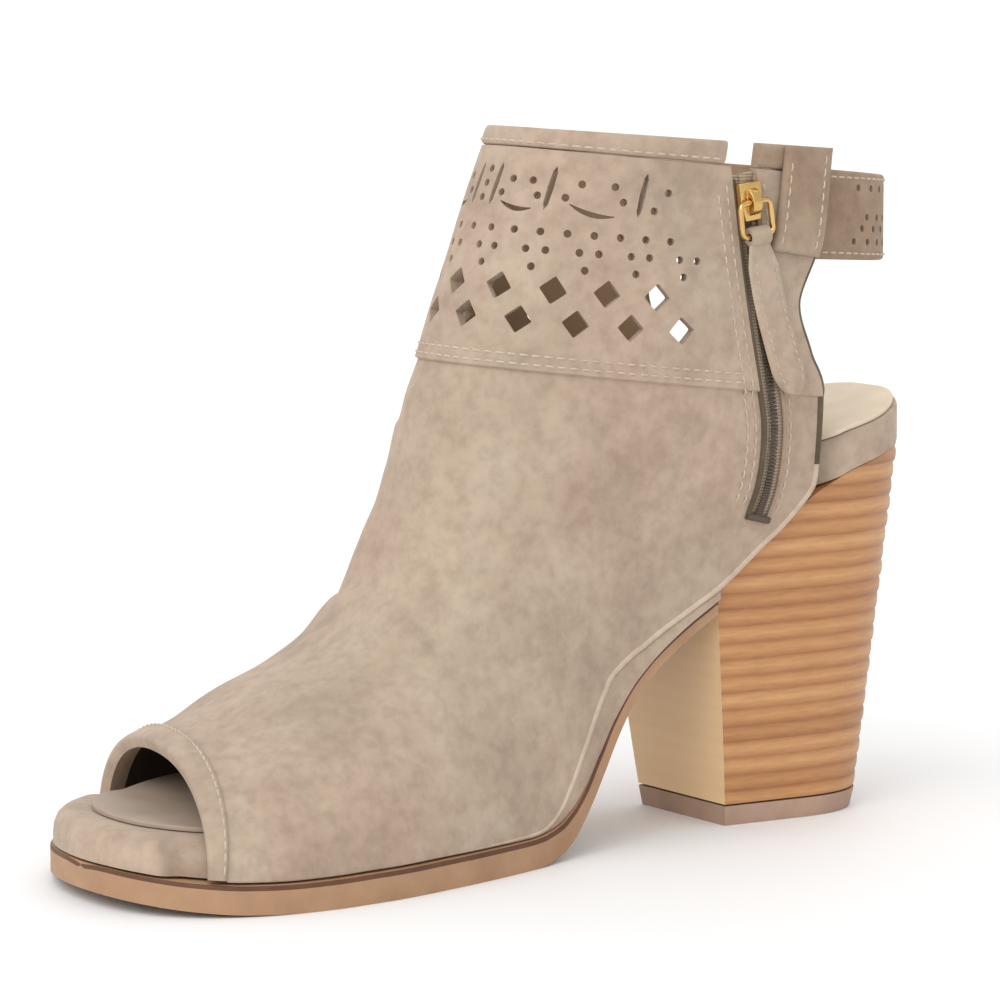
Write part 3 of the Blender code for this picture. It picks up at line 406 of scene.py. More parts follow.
def suede(name, dark, middle, light, nap=0.5):
    made, tree, shader = blank(name, 0.96)
    shader.inputs["Sheen Weight"].default_value = 0.25
    shader.inputs["Sheen Roughness"].default_value = 0.45
    shader.inputs["Sheen Tint"].default_value = (0.95, 0.86, 0.78, 1.0)
    shader.inputs["Specular IOR Level"].default_value = 0.15
    where = place_of(tree)
    clouds = ramp(tree, noise(tree, where, 48.0, 4.0, 0.62), (0.30, dark), (0.50, middle),
                  (0.70, light))
    spots = ramp(tree, noise(tree, where, 260.0, 3.0, 0.6), (0.32, (0.84, 0.82, 0.80)),
                 (0.55, (1.0, 1.0, 1.0)), (0.75, (1.10, 1.08, 1.06)))
    tints = ramp(tree, noise(tree, place_of(tree, (1.0, 1.0, 0.6)), 27.0, 2.0),
                 (0.35, (1.02, 0.99, 0.98)), (0.65, (0.98, 1.01, 0.99)))
    mottled = blend(tree, "MULTIPLY", 0.8, clouds, spots)
    tree.links.new(blend(tree, "MULTIPLY", 0.9, mottled, tints), shader.inputs["Base Color"])
    bumped(tree, shader, noise(tree, where, 2600.0, 3.0, 0.7), nap, 0.00022)
    return made


TAUPE = suede("taupe_suede", (0.372, 0.282, 0.215), (0.438, 0.336, 0.258),
              (0.492, 0.388, 0.304))
# The strap's suede is darker and browner than the upper's, and the keeper suede a little less so:
# partly their own tone, partly painted shade where they sit. The keeper suede also covers the heel
# panel's binding and the rear zip lip.
SHADED_STRAP_SUEDE = suede("strap_suede_tone_and_painted_shade", (0.250, 0.165, 0.110), (0.315, 0.214, 0.147),
                (0.380, 0.272, 0.196))
KEEPER = suede("keeper_suede_tone_and_painted_shade", (0.290, 0.200, 0.140), (0.362, 0.262, 0.190),
               (0.430, 0.326, 0.246))
EDGE = suede("pale_suede_edge", (0.490, 0.385, 0.290), (0.560, 0.450, 0.350),
             (0.630, 0.520, 0.415), 0.3)
# Dark edge paint beside the heel opening; on the front zip lip the same dark is painted shadow in
# the gap at the zip's front edge.
SHADE = suede("dark_edge_paint_and_gap_shadow", (0.080, 0.062, 0.040), (0.115, 0.090, 0.060),
              (0.160, 0.130, 0.090), 0.3)


def tone_with_painted_toe_shade(name, near, far, first, last, rough, nap):
    """A leather that changes its tone along the shoe, from the toe (near) backwards; a darker near
    end paints the shade that falls inside the toe.
    """
    made, tree, shader = blank(name, rough)
    where = place_of(tree)
    along = add(tree, "ShaderNodeMapRange", From_Min=first, From_Max=last)
    tree.links.new(axis_of(tree, where, "Y"), along.inputs["Value"])
    tones = ramp(tree, along.outputs[0], (0.0, near), (1.0, far))
    mottle = ramp(tree, noise(tree, where, 120.0), (0.3, (0.92, 0.91, 0.90)),
                  (0.7, (1.06, 1.06, 1.06)))
    tree.links.new(blend(tree, "MULTIPLY", 0.8, tones, mottle), shader.inputs["Base Color"])
    bumped(tree, shader, noise(tree, where, 1700.0), nap, 0.0002)
    return made


# The lining is near black at the toe and tan-brown further back: the dark toe end is painted shade
# inside the toe, not the lining's own colour.
SHADED_LINING = tone_with_painted_toe_shade("inside_lining_painted_toe_shade", (0.045, 0.028, 0.018), (0.340, 0.225, 0.135), -0.115, -0.070,
                0.9, 0.2)
# The sock is cream further back and turns to a darker suede tone towards the toe: partly the
# suede-covered front of the insole, partly painted shade inside the toe.
CREAM = tone_with_painted_toe_shade("sock_leather", (0.385, 0.298, 0.228), (0.720, 0.595, 0.440), -0.125, -0.06,
               0.6, 0.18)
print("suedes and linings:", ", ".join(m.name for m in bpy.data.materials))

# %% [markdown]
# ## Leather, sole, metal and thread
# The stacked heel is cut from glued leather layers, so its side shows a lighter and a darker
# band for each layer, with grain along it. The layer number comes from the height, and a
# white noise gives each layer its own tone. Faces that look forward, the breast, are painted
# much paler: partly a sanded finish, mostly painted light that lifts the breast out of the
# shade under the arch.
# Smooth leather, sole paint, rubber, gold and thread only need a tone, a faint mottle and the
# right gloss.

# %% Hard and smooth finishes
LAYER_PITCH = 0.0041
LIFT_HEIGHT = 0.0050


def maths(tree, operation, first, second=0.0):
    made = tree.nodes.new("ShaderNodeMath")
    made.operation = operation
    for socket, value in zip(made.inputs, (first, second)):
        if isinstance(value, bpy.types.NodeSocket):
            tree.links.new(value, socket)
        else:
            socket.default_value = value
    return made.outputs[0]


def stacked_leather():
    made, tree, shader = blank("stacked_leather", 0.42)
    wobble = noise(tree, place_of(tree, (1.0, 1.0, 0.3)), 60.0, 2.0)
    height = maths(tree, "ADD", axis_of(tree, place_of(tree), "Z"),
                   maths(tree, "MULTIPLY", wobble, 0.0009))
    layer = maths(tree, "DIVIDE", maths(tree, "SUBTRACT", height, LIFT_HEIGHT), LAYER_PITCH)
    white = tree.nodes.new("ShaderNodeTexWhiteNoise")
    white.noise_dimensions = "1D"
    tree.links.new(maths(tree, "FLOOR", layer), white.inputs["W"])
    tones = ramp(tree, white.outputs["Value"], (0.0, (0.430, 0.200, 0.075)),
                 (0.5, (0.490, 0.240, 0.094)), (1.0, (0.550, 0.290, 0.122)))
    within = maths(tree, "FRACT", layer)
    lines = ramp(tree, within, (0.0, (0.66, 0.52, 0.40)), (0.20, (0.86, 0.80, 0.74)),
                 (0.50, (1.10, 1.12, 1.14)), (0.80, (0.94, 0.91, 0.88)),
                 (1.0, (0.70, 0.56, 0.44)))
    grain = ramp(tree, noise(tree, place_of(tree, (1.0, 1.0, 9.0)), 150.0, 4.0, 0.65),
                 (0.3, (0.84, 0.80, 0.76)), (0.6, (1.06, 1.05, 1.04)))
    side = blend(tree, "MULTIPLY", 0.75, blend(tree, "MULTIPLY", 0.85, tones, lines), grain)
    # Painted light: faces turned forward, the breast, are mixed far towards a pale tan to lift
    # them out of the shade under the arch; only part of it is the sanded finish.
    facing = tree.nodes.new("ShaderNodeNewGeometry").outputs["True Normal"]
    breast = maths(tree, "LESS_THAN", axis_of(tree, facing, "Y"), -0.8)
    pale = blend(tree, "MIX", 0.85, side, (0.900, 0.640, 0.360))
    tree.links.new(blend(tree, "MIX", breast, side, pale), shader.inputs["Base Color"])
    bumped(tree, shader, noise(tree, place_of(tree, (1.0, 1.0, 6.0)), 500.0, 3.0), 0.25, 0.0002)
    return made


def plain(name, dark, light, rough, scale=90.0, metal=0.0, bump=0.1, grain=900.0, coat=0.0):
    made, tree, shader = blank(name, rough, metal)
    shader.inputs["Coat Weight"].default_value = coat
    shader.inputs["Coat Roughness"].default_value = 0.3
    where = place_of(tree)
    tree.links.new(ramp(tree, noise(tree, where, scale), (0.32, dark), (0.68, light)),
                   shader.inputs["Base Color"])
    bumped(tree, shader, noise(tree, where, grain), bump, 0.0002)
    return made


def woven_tape():
    made, tree, shader = blank("woven_zip_tape", 0.85)
    ribs = tree.nodes.new("ShaderNodeTexWave")
    ribs.wave_type = "BANDS"
    ribs.bands_direction = "Z"
    ribs.inputs["Scale"].default_value = 420.0
    ribs.inputs["Distortion"].default_value = 0.8
    where = place_of(tree)
    tree.links.new(where, ribs.inputs["Vector"])
    tree.links.new(ramp(tree, ribs.outputs["Fac"], (0.2, (0.300, 0.225, 0.155)),
                        (0.8, (0.480, 0.380, 0.280))), shader.inputs["Base Color"])
    bumped(tree, shader, ribs.outputs["Fac"], 0.4, 0.0002)
    return made


STACK = stacked_leather()
SOLE = plain("sole_edge_paint", (0.350, 0.198, 0.105), (0.430, 0.252, 0.140), 0.6)
# The outsole's top rim is dark where it meets the upper.
DARK_RIM_LINE = plain("dark_outsole_rim_line", (0.085, 0.030, 0.012), (0.135, 0.052, 0.020), 0.6)
TREAD = plain("outsole_tread", (0.250, 0.165, 0.105), (0.330, 0.225, 0.150), 0.7, bump=0.3)
RUBBER = plain("heel_rubber", (0.370, 0.240, 0.175), (0.440, 0.295, 0.220), 0.75, bump=0.35)
GOLD = plain("pale_gold", (0.660, 0.420, 0.150), (0.780, 0.520, 0.220), 0.24, metal=1.0,
             bump=0.03)
TAPE = woven_tape()
COIL = plain("dark_zip_coil", (0.055, 0.038, 0.026), (0.095, 0.070, 0.048), 0.5)
THREAD = plain("thread", (0.480, 0.385, 0.300), (0.570, 0.465, 0.370), 0.8, grain=3500.0,
               bump=0.4)
print("finishes made:", len(bpy.data.materials))

# %% [markdown]
# ## The surface of the upper
# The upper wraps the foot: at the toe it runs across the foot, and at the ankle it runs round
# it. One surface with two directions does for all of it: a row from the toe opening to the
# collar, and a place across from the medial edge over the ridge to the lateral edge. It is
# worked out once as a fine grid, and every strip, hole and stitch then takes its place from it.

# %% Bottom line and sections
def half_width(share, side):
    rows = [(row[0], row[1] * row[2 if side > 0 else 3]) for row in OUTLINE]
    return column(rows, 1, share)


def cap(share):
    """Rounds the outline off at the toe and at the back of the seat."""
    if share > TOE_CAP:
        t = min((share - TOE_CAP) / (1.0 - TOE_CAP), 1.0)
        return (1.0 - t ** TOE_POWER) ** (1.0 / TOE_POWER)
    if share < SEAT_CAP:
        t = min((SEAT_CAP - share) / SEAT_CAP, 1.0)
        return (1.0 - t ** SEAT_POWER) ** (1.0 / SEAT_POWER)
    return 1.0


def outline_x(share, side, grow=0.0):
    middle = BALL_WIDTH * column(OUTLINE, 4, share)
    reach = half_width(share, side) * cap(share)
    return middle + side * max(reach + grow * min(1.0, 3.0 * cap(share)), 0.0004)


def tread(share):
    return HEEL_HEIGHT * column(PROFILE, 1, share) + TOE_SPRING * column(PROFILE, 2, share)


def steepness(share):
    rise = tread(share - SLOPE_STEP) - tread(share + SLOPE_STEP)
    return math.hypot(1.0, rise / (2.0 * SLOPE_STEP * LENGTH))


OUTSOLE_EDGE, SHANK_EDGE, SOLE_LIP = 0.0068, 0.0060, 0.0014


def outsole_top(share):
    return tread(share) + OUTSOLE_EDGE * column(PROFILE, 3, share) * steepness(share)


def shank_top(share):
    return outsole_top(share) + SHANK_EDGE * column(PROFILE, 4, share) * steepness(share)


def bed(share):
    return shank_top(share) + GAP


def section(row):
    table = [(float(i),) + SECTIONS[i] for i in range(len(SECTIONS))]
    v = [column(table, i + 1, row) for i in range(11)]
    ridge = np.array((BALL_WIDTH * v[1], y_at(v[0]), INSTEP_HEIGHT * v[2]
                      + HEEL_HEIGHT * v[3] + SHAFT_HEIGHT * v[4]))
    edges = []
    for side, share in ((1, v[5]), (-1, v[6])):
        feather = outline_x(share, side, -GAP)
        x = feather + (side * 0.5 * COLLAR_WIDTH - feather) * v[8]
        edges.append(np.array((x, y_at(share), bed(share) + 2.0 * GAP + SHAFT_HEIGHT * v[7])))
    return ridge, edges[0], edges[1], v[9], v[10]


ROW_STEPS, ACROSS_STEPS = 300, 240


def fine_surface():
    across = np.linspace(0.0, 1.0, ACROSS_STEPS + 1)
    angle = math.pi * across
    grid, away = [], []
    for i in range(ROW_STEPS + 1):
        ridge, medial, lateral, fullness, bulge = section(TOP_ROW * i / ROW_STEPS)
        middle = (medial + lateral) / 2.0
        power = 2.0 / fullness
        run = (np.abs(np.cos(angle)) ** power)[:, None]
        climb = (np.clip(np.sin(angle), 0.0, 1.0) ** power)[:, None]
        side = np.where((across <= 0.5)[:, None], medial - middle, lateral - middle)
        line = middle + side * run + (ridge - middle) * climb
        line[:, 0] += COLLAR_WIDTH * bulge * np.sin(2.0 * angle)
        grid.append(line)
        away.append(line - (ridge + medial + lateral) / 3.0)
    grid, away = np.array(grid), np.array(away)
    normal = unit(np.cross(np.gradient(grid, axis=0), np.gradient(grid, axis=1)) + 1e-15)
    normal[np.sum(normal * away, axis=-1) < 0.0] *= -1.0
    return grid, normal


SURFACE, OUTWARD = fine_surface()
print("surface grid:", SURFACE.shape[:2])

# %% [markdown]
# ## Places on the surface
# A pattern cutter measures with a tape laid on the leather. These helpers do the same: they
# find the point at a row and a place across, and the row that lies so many millimetres along
# the leather from another.

# %% Measure on the surface
def on_upper(row, across, lift=0.0):
    """Point and outward normal at a row and a place across; both may be arrays."""
    r = np.clip(np.asarray(row, float) / TOP_ROW * ROW_STEPS, 0.0, ROW_STEPS - 1e-6)
    a = np.clip(np.asarray(across, float) * ACROSS_STEPS, 0.0, ACROSS_STEPS - 1e-6)
    r, a = np.broadcast_arrays(r, a)
    i, k = r.astype(int), a.astype(int)
    fr, fa = (r - i)[..., None], (a - k)[..., None]

    def mixed(grid):
        return ((grid[i, k] * (1 - fa) + grid[i, k + 1] * fa) * (1 - fr)
                + (grid[i + 1, k] * (1 - fa) + grid[i + 1, k + 1] * fa) * fr)

    normal = unit(mixed(OUTWARD))
    return mixed(SURFACE) + normal * np.asarray(lift, float)[..., None], normal


def row_from(start, across, distance):
    """Row at a distance along the surface: positive towards the collar."""
    rows = np.linspace(start, TOP_ROW if distance > 0.0 else 0.0, 600)
    points, _ = on_upper(rows, across)
    return float(np.interp(abs(distance), distances(points), rows))


def across_from_front(row, along):
    """Place across at a distance round the collar from the front middle, + is medial."""
    places = np.linspace(0.5, 0.0 if along > 0.0 else 1.0, 600)
    points, _ = on_upper(row, places)
    return float(np.interp(abs(along), distances(points), places))


TOE_ROW = row_from(0.0, 0.5, TOE_BINDING + GAP)
TOP_EDGE_ROW = row_from(TOP_ROW, 0.5, -(TOPLINE_BINDING + GAP))
print("toe binding ends at row %.2f, collar leather at row %.2f" % (TOE_ROW, TOP_EDGE_ROW))

# %% [markdown]
# ## The zip's line
# The zip runs down the medial side, a little bowed, from the collar to the side of the seat.
# It is drawn in the side view and laid on the surface by a ray from the side, as a maker marks
# it on the last with a ruler held flat.

# %% Zip line
ZIP_WIDTH = 0.0070
ZIP_LINE = (
    (0.2449, -0.225),
    (0.2371, -0.120),
    (0.2342, 0.040),
    (0.2429, 0.215),
    (0.2536, 0.380),
    (0.2633, 0.550),
    (0.2711, 0.720),
    (0.2779, 0.860),
)


def zip_middle(t):
    rows = [(i / (len(ZIP_LINE) - 1),) + ZIP_LINE[i] for i in range(len(ZIP_LINE))]
    return y_at(column(rows, 1, t)), HEEL_HEIGHT + SHAFT_HEIGHT * column(rows, 2, t)


def zip_along(t):
    """Unit direction up the zip in the side view, as y and z."""
    y0, z0 = zip_middle(max(t - 0.01, 0.0))
    y1, z1 = zip_middle(min(t + 0.01, 1.0))
    run = math.hypot(y1 - y0, z1 - z0)
    return (y1 - y0) / run, (z1 - z0) / run


def medial_tree():
    half = ACROSS_STEPS // 2 + 1
    points = SURFACE[:, :half].reshape(-1, 3)
    faces = [(a, a + 1, a + half + 1, a + half) for i in range(ROW_STEPS)
             for a in range(i * half, i * half + half - 1)]
    return BVHTree.FromPolygons([tuple(p) for p in points], faces)


MEDIAL = medial_tree()


def side_x(y, z):
    hit = MEDIAL.ray_cast(Vector((2.0 * COLLAR_WIDTH, y, z)), Vector((-1.0, 0.0, 0.0)))
    return hit[0].x if hit[0] else 0.5 * COLLAR_WIDTH


def beside_zip(t, shift, lift=0.0):
    """Point on the medial side, a shift towards the toe from a place along the zip."""
    (y, z), (ay, az) = zip_middle(t), zip_along(t)
    y, z = y - shift * az, z + shift * ay
    return np.array((side_x(y, z) + lift, y, z))


def zip_prism(half, above, steps=25):
    """Cutter along the zip's slot; it stands a little above the collar."""
    rings = []
    for i in range(steps):
        (y, z), (ay, az) = zip_middle(i / (steps - 1)), zip_along(i / (steps - 1))
        if i == steps - 1:
            y, z = y + above * ay, z + above * az
        rings += [(x, y + s * half * az, z - s * half * ay) for x, s in
                  ((0.15 * COLLAR_WIDTH, -1), (0.15 * COLLAR_WIDTH, 1),
                   (COLLAR_WIDTH, 1), (COLLAR_WIDTH, -1))]
    return rings, loft_faces(steps, 4)


print("zip is %.0f mm tall" % ((zip_middle(1.0)[1] - zip_middle(0.0)[1]) * 1000))

# %% [markdown]
# ## The perforated pattern
# A punch press cuts the collar before it is sewn: tall slits and shallow arcs near the top,
# rows of small round holes, and two rows of diamonds. Holes painted dark would look flat from
# the side and show no light through, so they are cut: each hole is a prism square to the
# leather, and all of them leave in one boolean.

# %% Punches
PITCH, DIAMOND = 0.0130, 0.0068
UPPER_ROW, LOWER_ROW = 0.0335, 0.0410
SLIT_LENGTH, SLIT_WIDTH, SLIT_DEPTH = 0.0106, 0.0015, 0.0095
ARC_LENGTH, ARC_WIDTH, ARC_DEPTH, ARC_SAG = 0.0100, 0.0013, 0.0140, 0.0005
SLIT_PLACES = (-3.2, -1.45, -0.29, 0.29, 1.45, 3.2)
ARC_PLACES = (-2.32, -0.87, 0.87, 2.32)
DOT = 0.00095
# An arc's stretch, and how far the near and far dots beside it lie from its middle
SHORT_ARC, LONG_ARC = (0.85, 0.0027, 0.0049), (1.10, 0.0041, 0.0071)
NEAR_DOT_DEPTH, FAR_DOT_DEPTH = 0.0080, 0.0115
END_DOTS = ((0.0455, 0.0130), (0.0482, 0.0085))
MIDDLE_DOT_DEPTHS = (0.0060, 0.0095, 0.0130)
DOT_ROW, PAIR_ROW, SINGLE_ROW, PAIR_HALF = 0.0200, 0.0243, 0.0284, 0.0024
PATTERN_ROW = row_from(TOP_ROW, 0.5, -(TOPLINE_BINDING + 0.5 * (LOWER_ROW + UPPER_ROW)))


def punch(along, depth, outline):
    """Prism square to the collar at a place round it and a depth below the binding."""
    across = across_from_front(PATTERN_ROW, along)
    row = row_from(TOP_ROW, across, -(TOPLINE_BINDING + depth))
    point, normal = on_upper(row, across)
    down = unit(on_upper(row - 0.05, across)[0] - on_upper(row + 0.05, across)[0])
    side = unit(np.cross(normal, down))
    return [[point + normal * lift + side * s + down * d for s, d in outline]
            for lift in (COLLAR_LAP + 0.0018, -WALL - 0.0012)]


def round_hole(radius, sides=12):
    turns = [2 * math.pi * k / sides for k in range(sides)]
    return [(radius * math.cos(a), radius * math.sin(a)) for a in turns]


def arc_outline(stretch):
    """A shallow arc that thins towards both ends."""
    upper, lower = [], []
    for i in range(9):
        t = i / 4 - 1
        sag = 2.0 * ARC_SAG * (1.0 - t * t)
        thick = 0.5 * ARC_WIDTH * (1.0 - 0.85 * t * t)
        upper.append((0.5 * ARC_LENGTH * stretch * t, sag - thick))
        lower.append((0.5 * ARC_LENGTH * stretch * t, sag + thick))
    return upper + lower[::-1]


def diamond_outline():
    """A square on its corner, with each corner cut to three points."""
    half = 0.5 * DIAMOND
    soft, tip = 0.16 * half, 0.965 * half
    inward = half - soft
    points = []
    for x, y in ((0, -1), (1, 0), (0, 1), (-1, 0)):
        points += [(x * inward + y * soft, y * inward - x * soft), (x * tip, y * tip),
                   (x * inward - y * soft, y * inward + x * soft)]
    return points


def slit_outline():
    long, wide = 0.5 * SLIT_LENGTH, 0.5 * SLIT_WIDTH
    return [(wide * x, long * y) for x, y in (
        (0.0, -1.0), (0.8, -0.75), (1.0, 0.0), (0.8, 0.75),
        (0.0, 1.0), (-0.8, 0.75), (-1.0, 0.0), (-0.8, -0.75))]


def pattern():
    diamond, slit, dot = diamond_outline(), slit_outline(), round_hole(DOT)
    prisms = [punch(n * PITCH, UPPER_ROW, diamond) for n in range(-4, 5)]
    prisms += [punch((n + 0.5) * PITCH, LOWER_ROW, diamond) for n in range(-5, 5)]
    prisms += [punch(place * PITCH, SLIT_DEPTH, slit) for place in SLIT_PLACES]
    for place in ARC_PLACES:
        stretch, near, far = SHORT_ARC if abs(place) < 1.0 else LONG_ARC
        prisms.append(punch(place * PITCH, ARC_DEPTH, arc_outline(stretch)))
        prisms += [punch(place * PITCH + side * aside, depth, dot)
                   for aside, depth in ((near, NEAR_DOT_DEPTH), (far, FAR_DOT_DEPTH))
                   for side in (-1, 1)]
    prisms += [punch(side * along, depth, dot) for side in (-1, 1) for along, depth in END_DOTS]
    prisms += [punch(0.0, depth, dot) for depth in MIDDLE_DOT_DEPTHS]
    prisms += [punch(0.5 * n * PITCH, DOT_ROW, dot) for n in range(-8, 9)]
    for n in range(-5, 5):
        middle = (n + 0.5) * PITCH
        prisms += [punch(middle + side * PAIR_HALF, PAIR_ROW, dot) for side in (-1, 1)]
        prisms.append(punch(middle, SINGLE_ROW, dot))
    return prisms


def joined(prisms):
    points, faces = [], []
    for rings in prisms:
        faces += loft_faces(2, len(rings[0]), len(points))
        points += rings[0] + rings[1]
    return points, faces


PRISMS = pattern()
print("holes punched:", len(PRISMS))

# %% [markdown]
# ## The upper
# The real upper is a wall of suede and lining, and its collar is a second layer that laps the
# vamp with a folded edge. A single closed mesh gives both faces and the true thickness at each
# hole. Worn suede isn't smooth: a few shallow dents and swellings are placed, in millimetres,
# where the foot bends at the instep and where the ball presses.

# %% Upper
# Row, place across, reach in rows, reach across, height in metres
WEAR = (
    (3.2, 0.22, 1.4, 0.10, 0.0005),
    (4.6, 0.30, 1.0, 0.12, -0.0006),
    (6.2, 0.36, 0.9, 0.14, -0.0005),
    (7.6, 0.62, 0.9, 0.16, -0.0006),
    (5.4, 0.68, 1.2, 0.12, 0.0005),
    (8.8, 0.30, 0.8, 0.10, 0.0004),
    (2.0, 0.45, 1.0, 0.16, -0.0003),
    (9.6, 0.14, 0.7, 0.06, -0.0004),
)


def worn(row, across):
    total = np.zeros(np.broadcast(row, across).shape)
    for at_row, at_across, tall, wide, height in WEAR:
        total += height * np.exp(-((row - at_row) / tall) ** 2
                                 - ((across - at_across) / wide) ** 2)
    return total * np.clip(4.0 * np.minimum(across, 1.0 - across) / 0.15, 0.0, 1.0)


def wall(rows, lifts, acrosses, inner):
    """Closed wall over the surface, with its outside lifted and worn."""
    r, a = np.array(rows)[:, None], np.array(acrosses)[None, :]
    outside, _ = on_upper(r, a, np.array(lifts)[:, None] + worn(r, a))
    inside, _ = on_upper(r, a, np.full((len(rows), 1), -inner))
    return slab(outside, inside)


def make_upper():
    rows = list(np.linspace(TOE_ROW, 5.0, 26)) + list(np.linspace(5.0, SEAM_ROW, 44))[1:]
    lifts = [0.0] * len(rows)
    for step, share in ((0.012, 0.75), (0.03, 1.0), (0.06, 1.0)):
        rows.append(SEAM_ROW + step)
        lifts.append(COLLAR_LAP * share)
    rest = list(np.linspace(SEAM_ROW + 0.06, TOP_EDGE_ROW, 46))[1:]
    rows += rest
    lifts += [COLLAR_LAP] * len(rest)
    points, faces, kinds = wall(rows, lifts, np.linspace(0.0, 1.0, 161), WALL)
    piece = show("suede_upper", points, faces, [TAUPE, SHADED_LINING], ["upper"], kinds=kinds)
    carve(piece, *zip_prism(0.5 * ZIP_WIDTH, 0.012))
    carve(piece, *joined(PRISMS))
    print("upper cut:", len(piece.data.polygons), "faces")


make_upper()

# %% [markdown]
# ## Bindings
# The toe opening and the collar are finished with a strip of suede folded over the raw edge
# and stitched. A bevel on the wall couldn't give the soft roll or the step beside it, so each
# binding is a loft of a rounded fold along the edge.

# %% Bindings
FOLD = ((0.0, 0.10), (0.03, 0.55), (0.10, 0.85), (0.25, 0.97), (0.5, 1.0), (0.75, 0.97),
        (0.90, 0.85), (0.97, 0.55), (1.0, 0.10))


def binding(name, low, high, first, last, outside, inside, nodes, finish, count=170):
    rings = []
    for across in np.linspace(first, last, count):
        ring = [on_upper(low + (high - low) * s, across, outside * lift)[0] for s, lift in FOLD]
        ring += [on_upper(low + (high - low) * s, across, -inside)[0]
                 for s in (0.98, 0.7, 0.3, 0.02)]
        rings.append(ring)
    points = np.array(rings).reshape(-1, 3)
    show(name, points, loft_faces(count, len(FOLD) + 4), [finish], nodes, smooth=60.0)


def zip_place(row, shift):
    """Place across where a row crosses the zip's middle plus a shift."""
    line = np.array([zip_middle(t) for t in np.linspace(0.0, 1.0, 60)])
    places = np.linspace(0.0, 0.4, 400)
    points = on_upper(row, places)[0]
    target = np.interp(points[:, 2], line[:, 1], line[:, 0]) + shift
    return float(places[np.argmin(np.abs(points[:, 1] - target))])


TOE_FOLD = 0.0074
TOE_END = row_from(0.0, 0.5, TOE_FOLD)
TOP_START = row_from(TOP_ROW, 0.5, -TOPLINE_BINDING)
ZIP_EDGE = 0.5 * ZIP_WIDTH + 4.0 * GAP
COLLAR_OUT = COLLAR_LAP + BINDING_ROLL
ROLL_IN = WALL + 0.5 * BINDING_ROLL
binding("toe_edge_binding", 0.0, TOE_END, 0.0, 1.0, 2.0 * BINDING_ROLL, ROLL_IN, ["toe_binding"],
        TAUPE)
binding("collar_edge_binding", TOP_START, TOP_ROW, zip_place(TOP_ROW, -ZIP_EDGE), 1.0, COLLAR_OUT,
        ROLL_IN, ["topline_binding"], TAUPE)
binding("heel_panel_binding", TOP_START, TOP_ROW, 0.0, zip_place(TOP_ROW, ZIP_EDGE), COLLAR_OUT,
        ROLL_IN, ["panel_binding"], KEEPER, 24)

# %% [markdown]
# ## Piping along the open edges
# Where the upper stops above the sole and beside the heel opening, its raw edge is turned in
# over a thin cord. Below the seat this shows as a pale line, and beside the opening as a
# dark painted edge. A thin tube on the surface's own edge follows it exactly.

# %% Piping
def piping(name, first, last, across, radii, material, inset, steps=140):
    rows = np.linspace(first, last, steps)
    points, normals = on_upper(rows, across, np.full(steps, -inset))
    tube(name, points, normals, np.interp(rows, *radii), 10, material)


CORD = ((0.0, 4.0, 6.5), (0.00025, 0.0004, 0.0009))
EDGE_FOLD = ((10.0, 11.0, 11.1), (0.0009, 0.0010, 0.0013))
for side, across in (("medial", 0.0), ("lateral", 1.0)):
    piping(side + "_sole_piping", TOE_ROW + 0.1, 10.3, across, CORD, EDGE, 0.0005)
    piping(side + "_opening_edge", 10.3, TOP_START - 0.05, across, EDGE_FOLD, SHADE, 0.0004)

# %% [markdown]
# ## Stitches
# Each stitch is a short thread that dips into the leather at both ends. A dashed texture
# would blur when the camera comes close, so a stitch is a small tube of five rings, repeated
# along a path at the machine's pitch. One piece holds a whole seam.

# %% Stitches
STITCH, STITCH_PITCH, THREAD_RADIUS, SINK = 0.0021, 0.0029, 0.00026, 0.00018
# Place along a stitch, its height by SINK and its thickness by the thread's radius
STITCH_SHAPE = np.array(((0.0, -1.0, 0.6), (0.2, 0.2, 0.95), (0.5, 0.9, 1.0), (0.8, 0.2, 0.95),
                         (1.0, -1.0, 0.6)))


def stitches(name, paths, body="shoe", length=STITCH, pitch=STITCH_PITCH, radius=THREAD_RADIUS):
    """Stitches along paths; each path is a pair, its points and its normals."""
    points, faces = [], []
    places, heights, widths = STITCH_SHAPE.T
    for path, normals in paths:
        gone = distances(path)
        normals = np.broadcast_to(normals, path.shape)
        for n in range(int((gone[-1] - length) / pitch) + 1):
            at = n * pitch + places * length
            line = np.stack([np.interp(at, gone, path[:, i]) for i in range(3)], axis=1)
            up = unit(np.stack([np.interp(at, gone, normals[:, i]) for i in range(3)], axis=1))
            line = line + up * (heights * SINK)[:, None]
            rings = tube_rings(line, up, radius * widths, 6, 0.8)
            faces += loft_faces(5, 6, len(points))
            points += list(rings.reshape(-1, 3))
    show(name, points, faces, [THREAD], body=body, smooth=70.0)


def row_path(row, first, last, lift, count=240):
    return on_upper(row, np.linspace(first, last, count), np.full(count, lift))


toe_stitch_row = row_from(0.0, 0.5, TOE_FOLD - 0.0012)
stitches("toe_binding_stitches", [row_path(toe_stitch_row, 0.01, 0.99, 1.9 * BINDING_ROLL)])
collar_stitch_row = row_from(TOP_ROW, 0.5, -(TOPLINE_BINDING - 0.0010))
stitches("collar_binding_stitches", [
    row_path(collar_stitch_row, zip_place(TOP_ROW, -ZIP_EDGE) + 0.006, 0.99, 0.95 * COLLAR_OUT)])
seam_low, seam_high = (row_from(SEAM_ROW + 0.03, 0.5, d) for d in (0.0012, 0.0034))
seam_end = zip_place(SEAM_ROW, -0.5 * ZIP_WIDTH - 0.0050)
stitches("collar_seam_stitches", [row_path(row, seam_end, 0.995, COLLAR_LAP)
                                  for row in (seam_low, seam_high)])


SIDEWAYS = np.array((1.0, 0.0, 0.0))


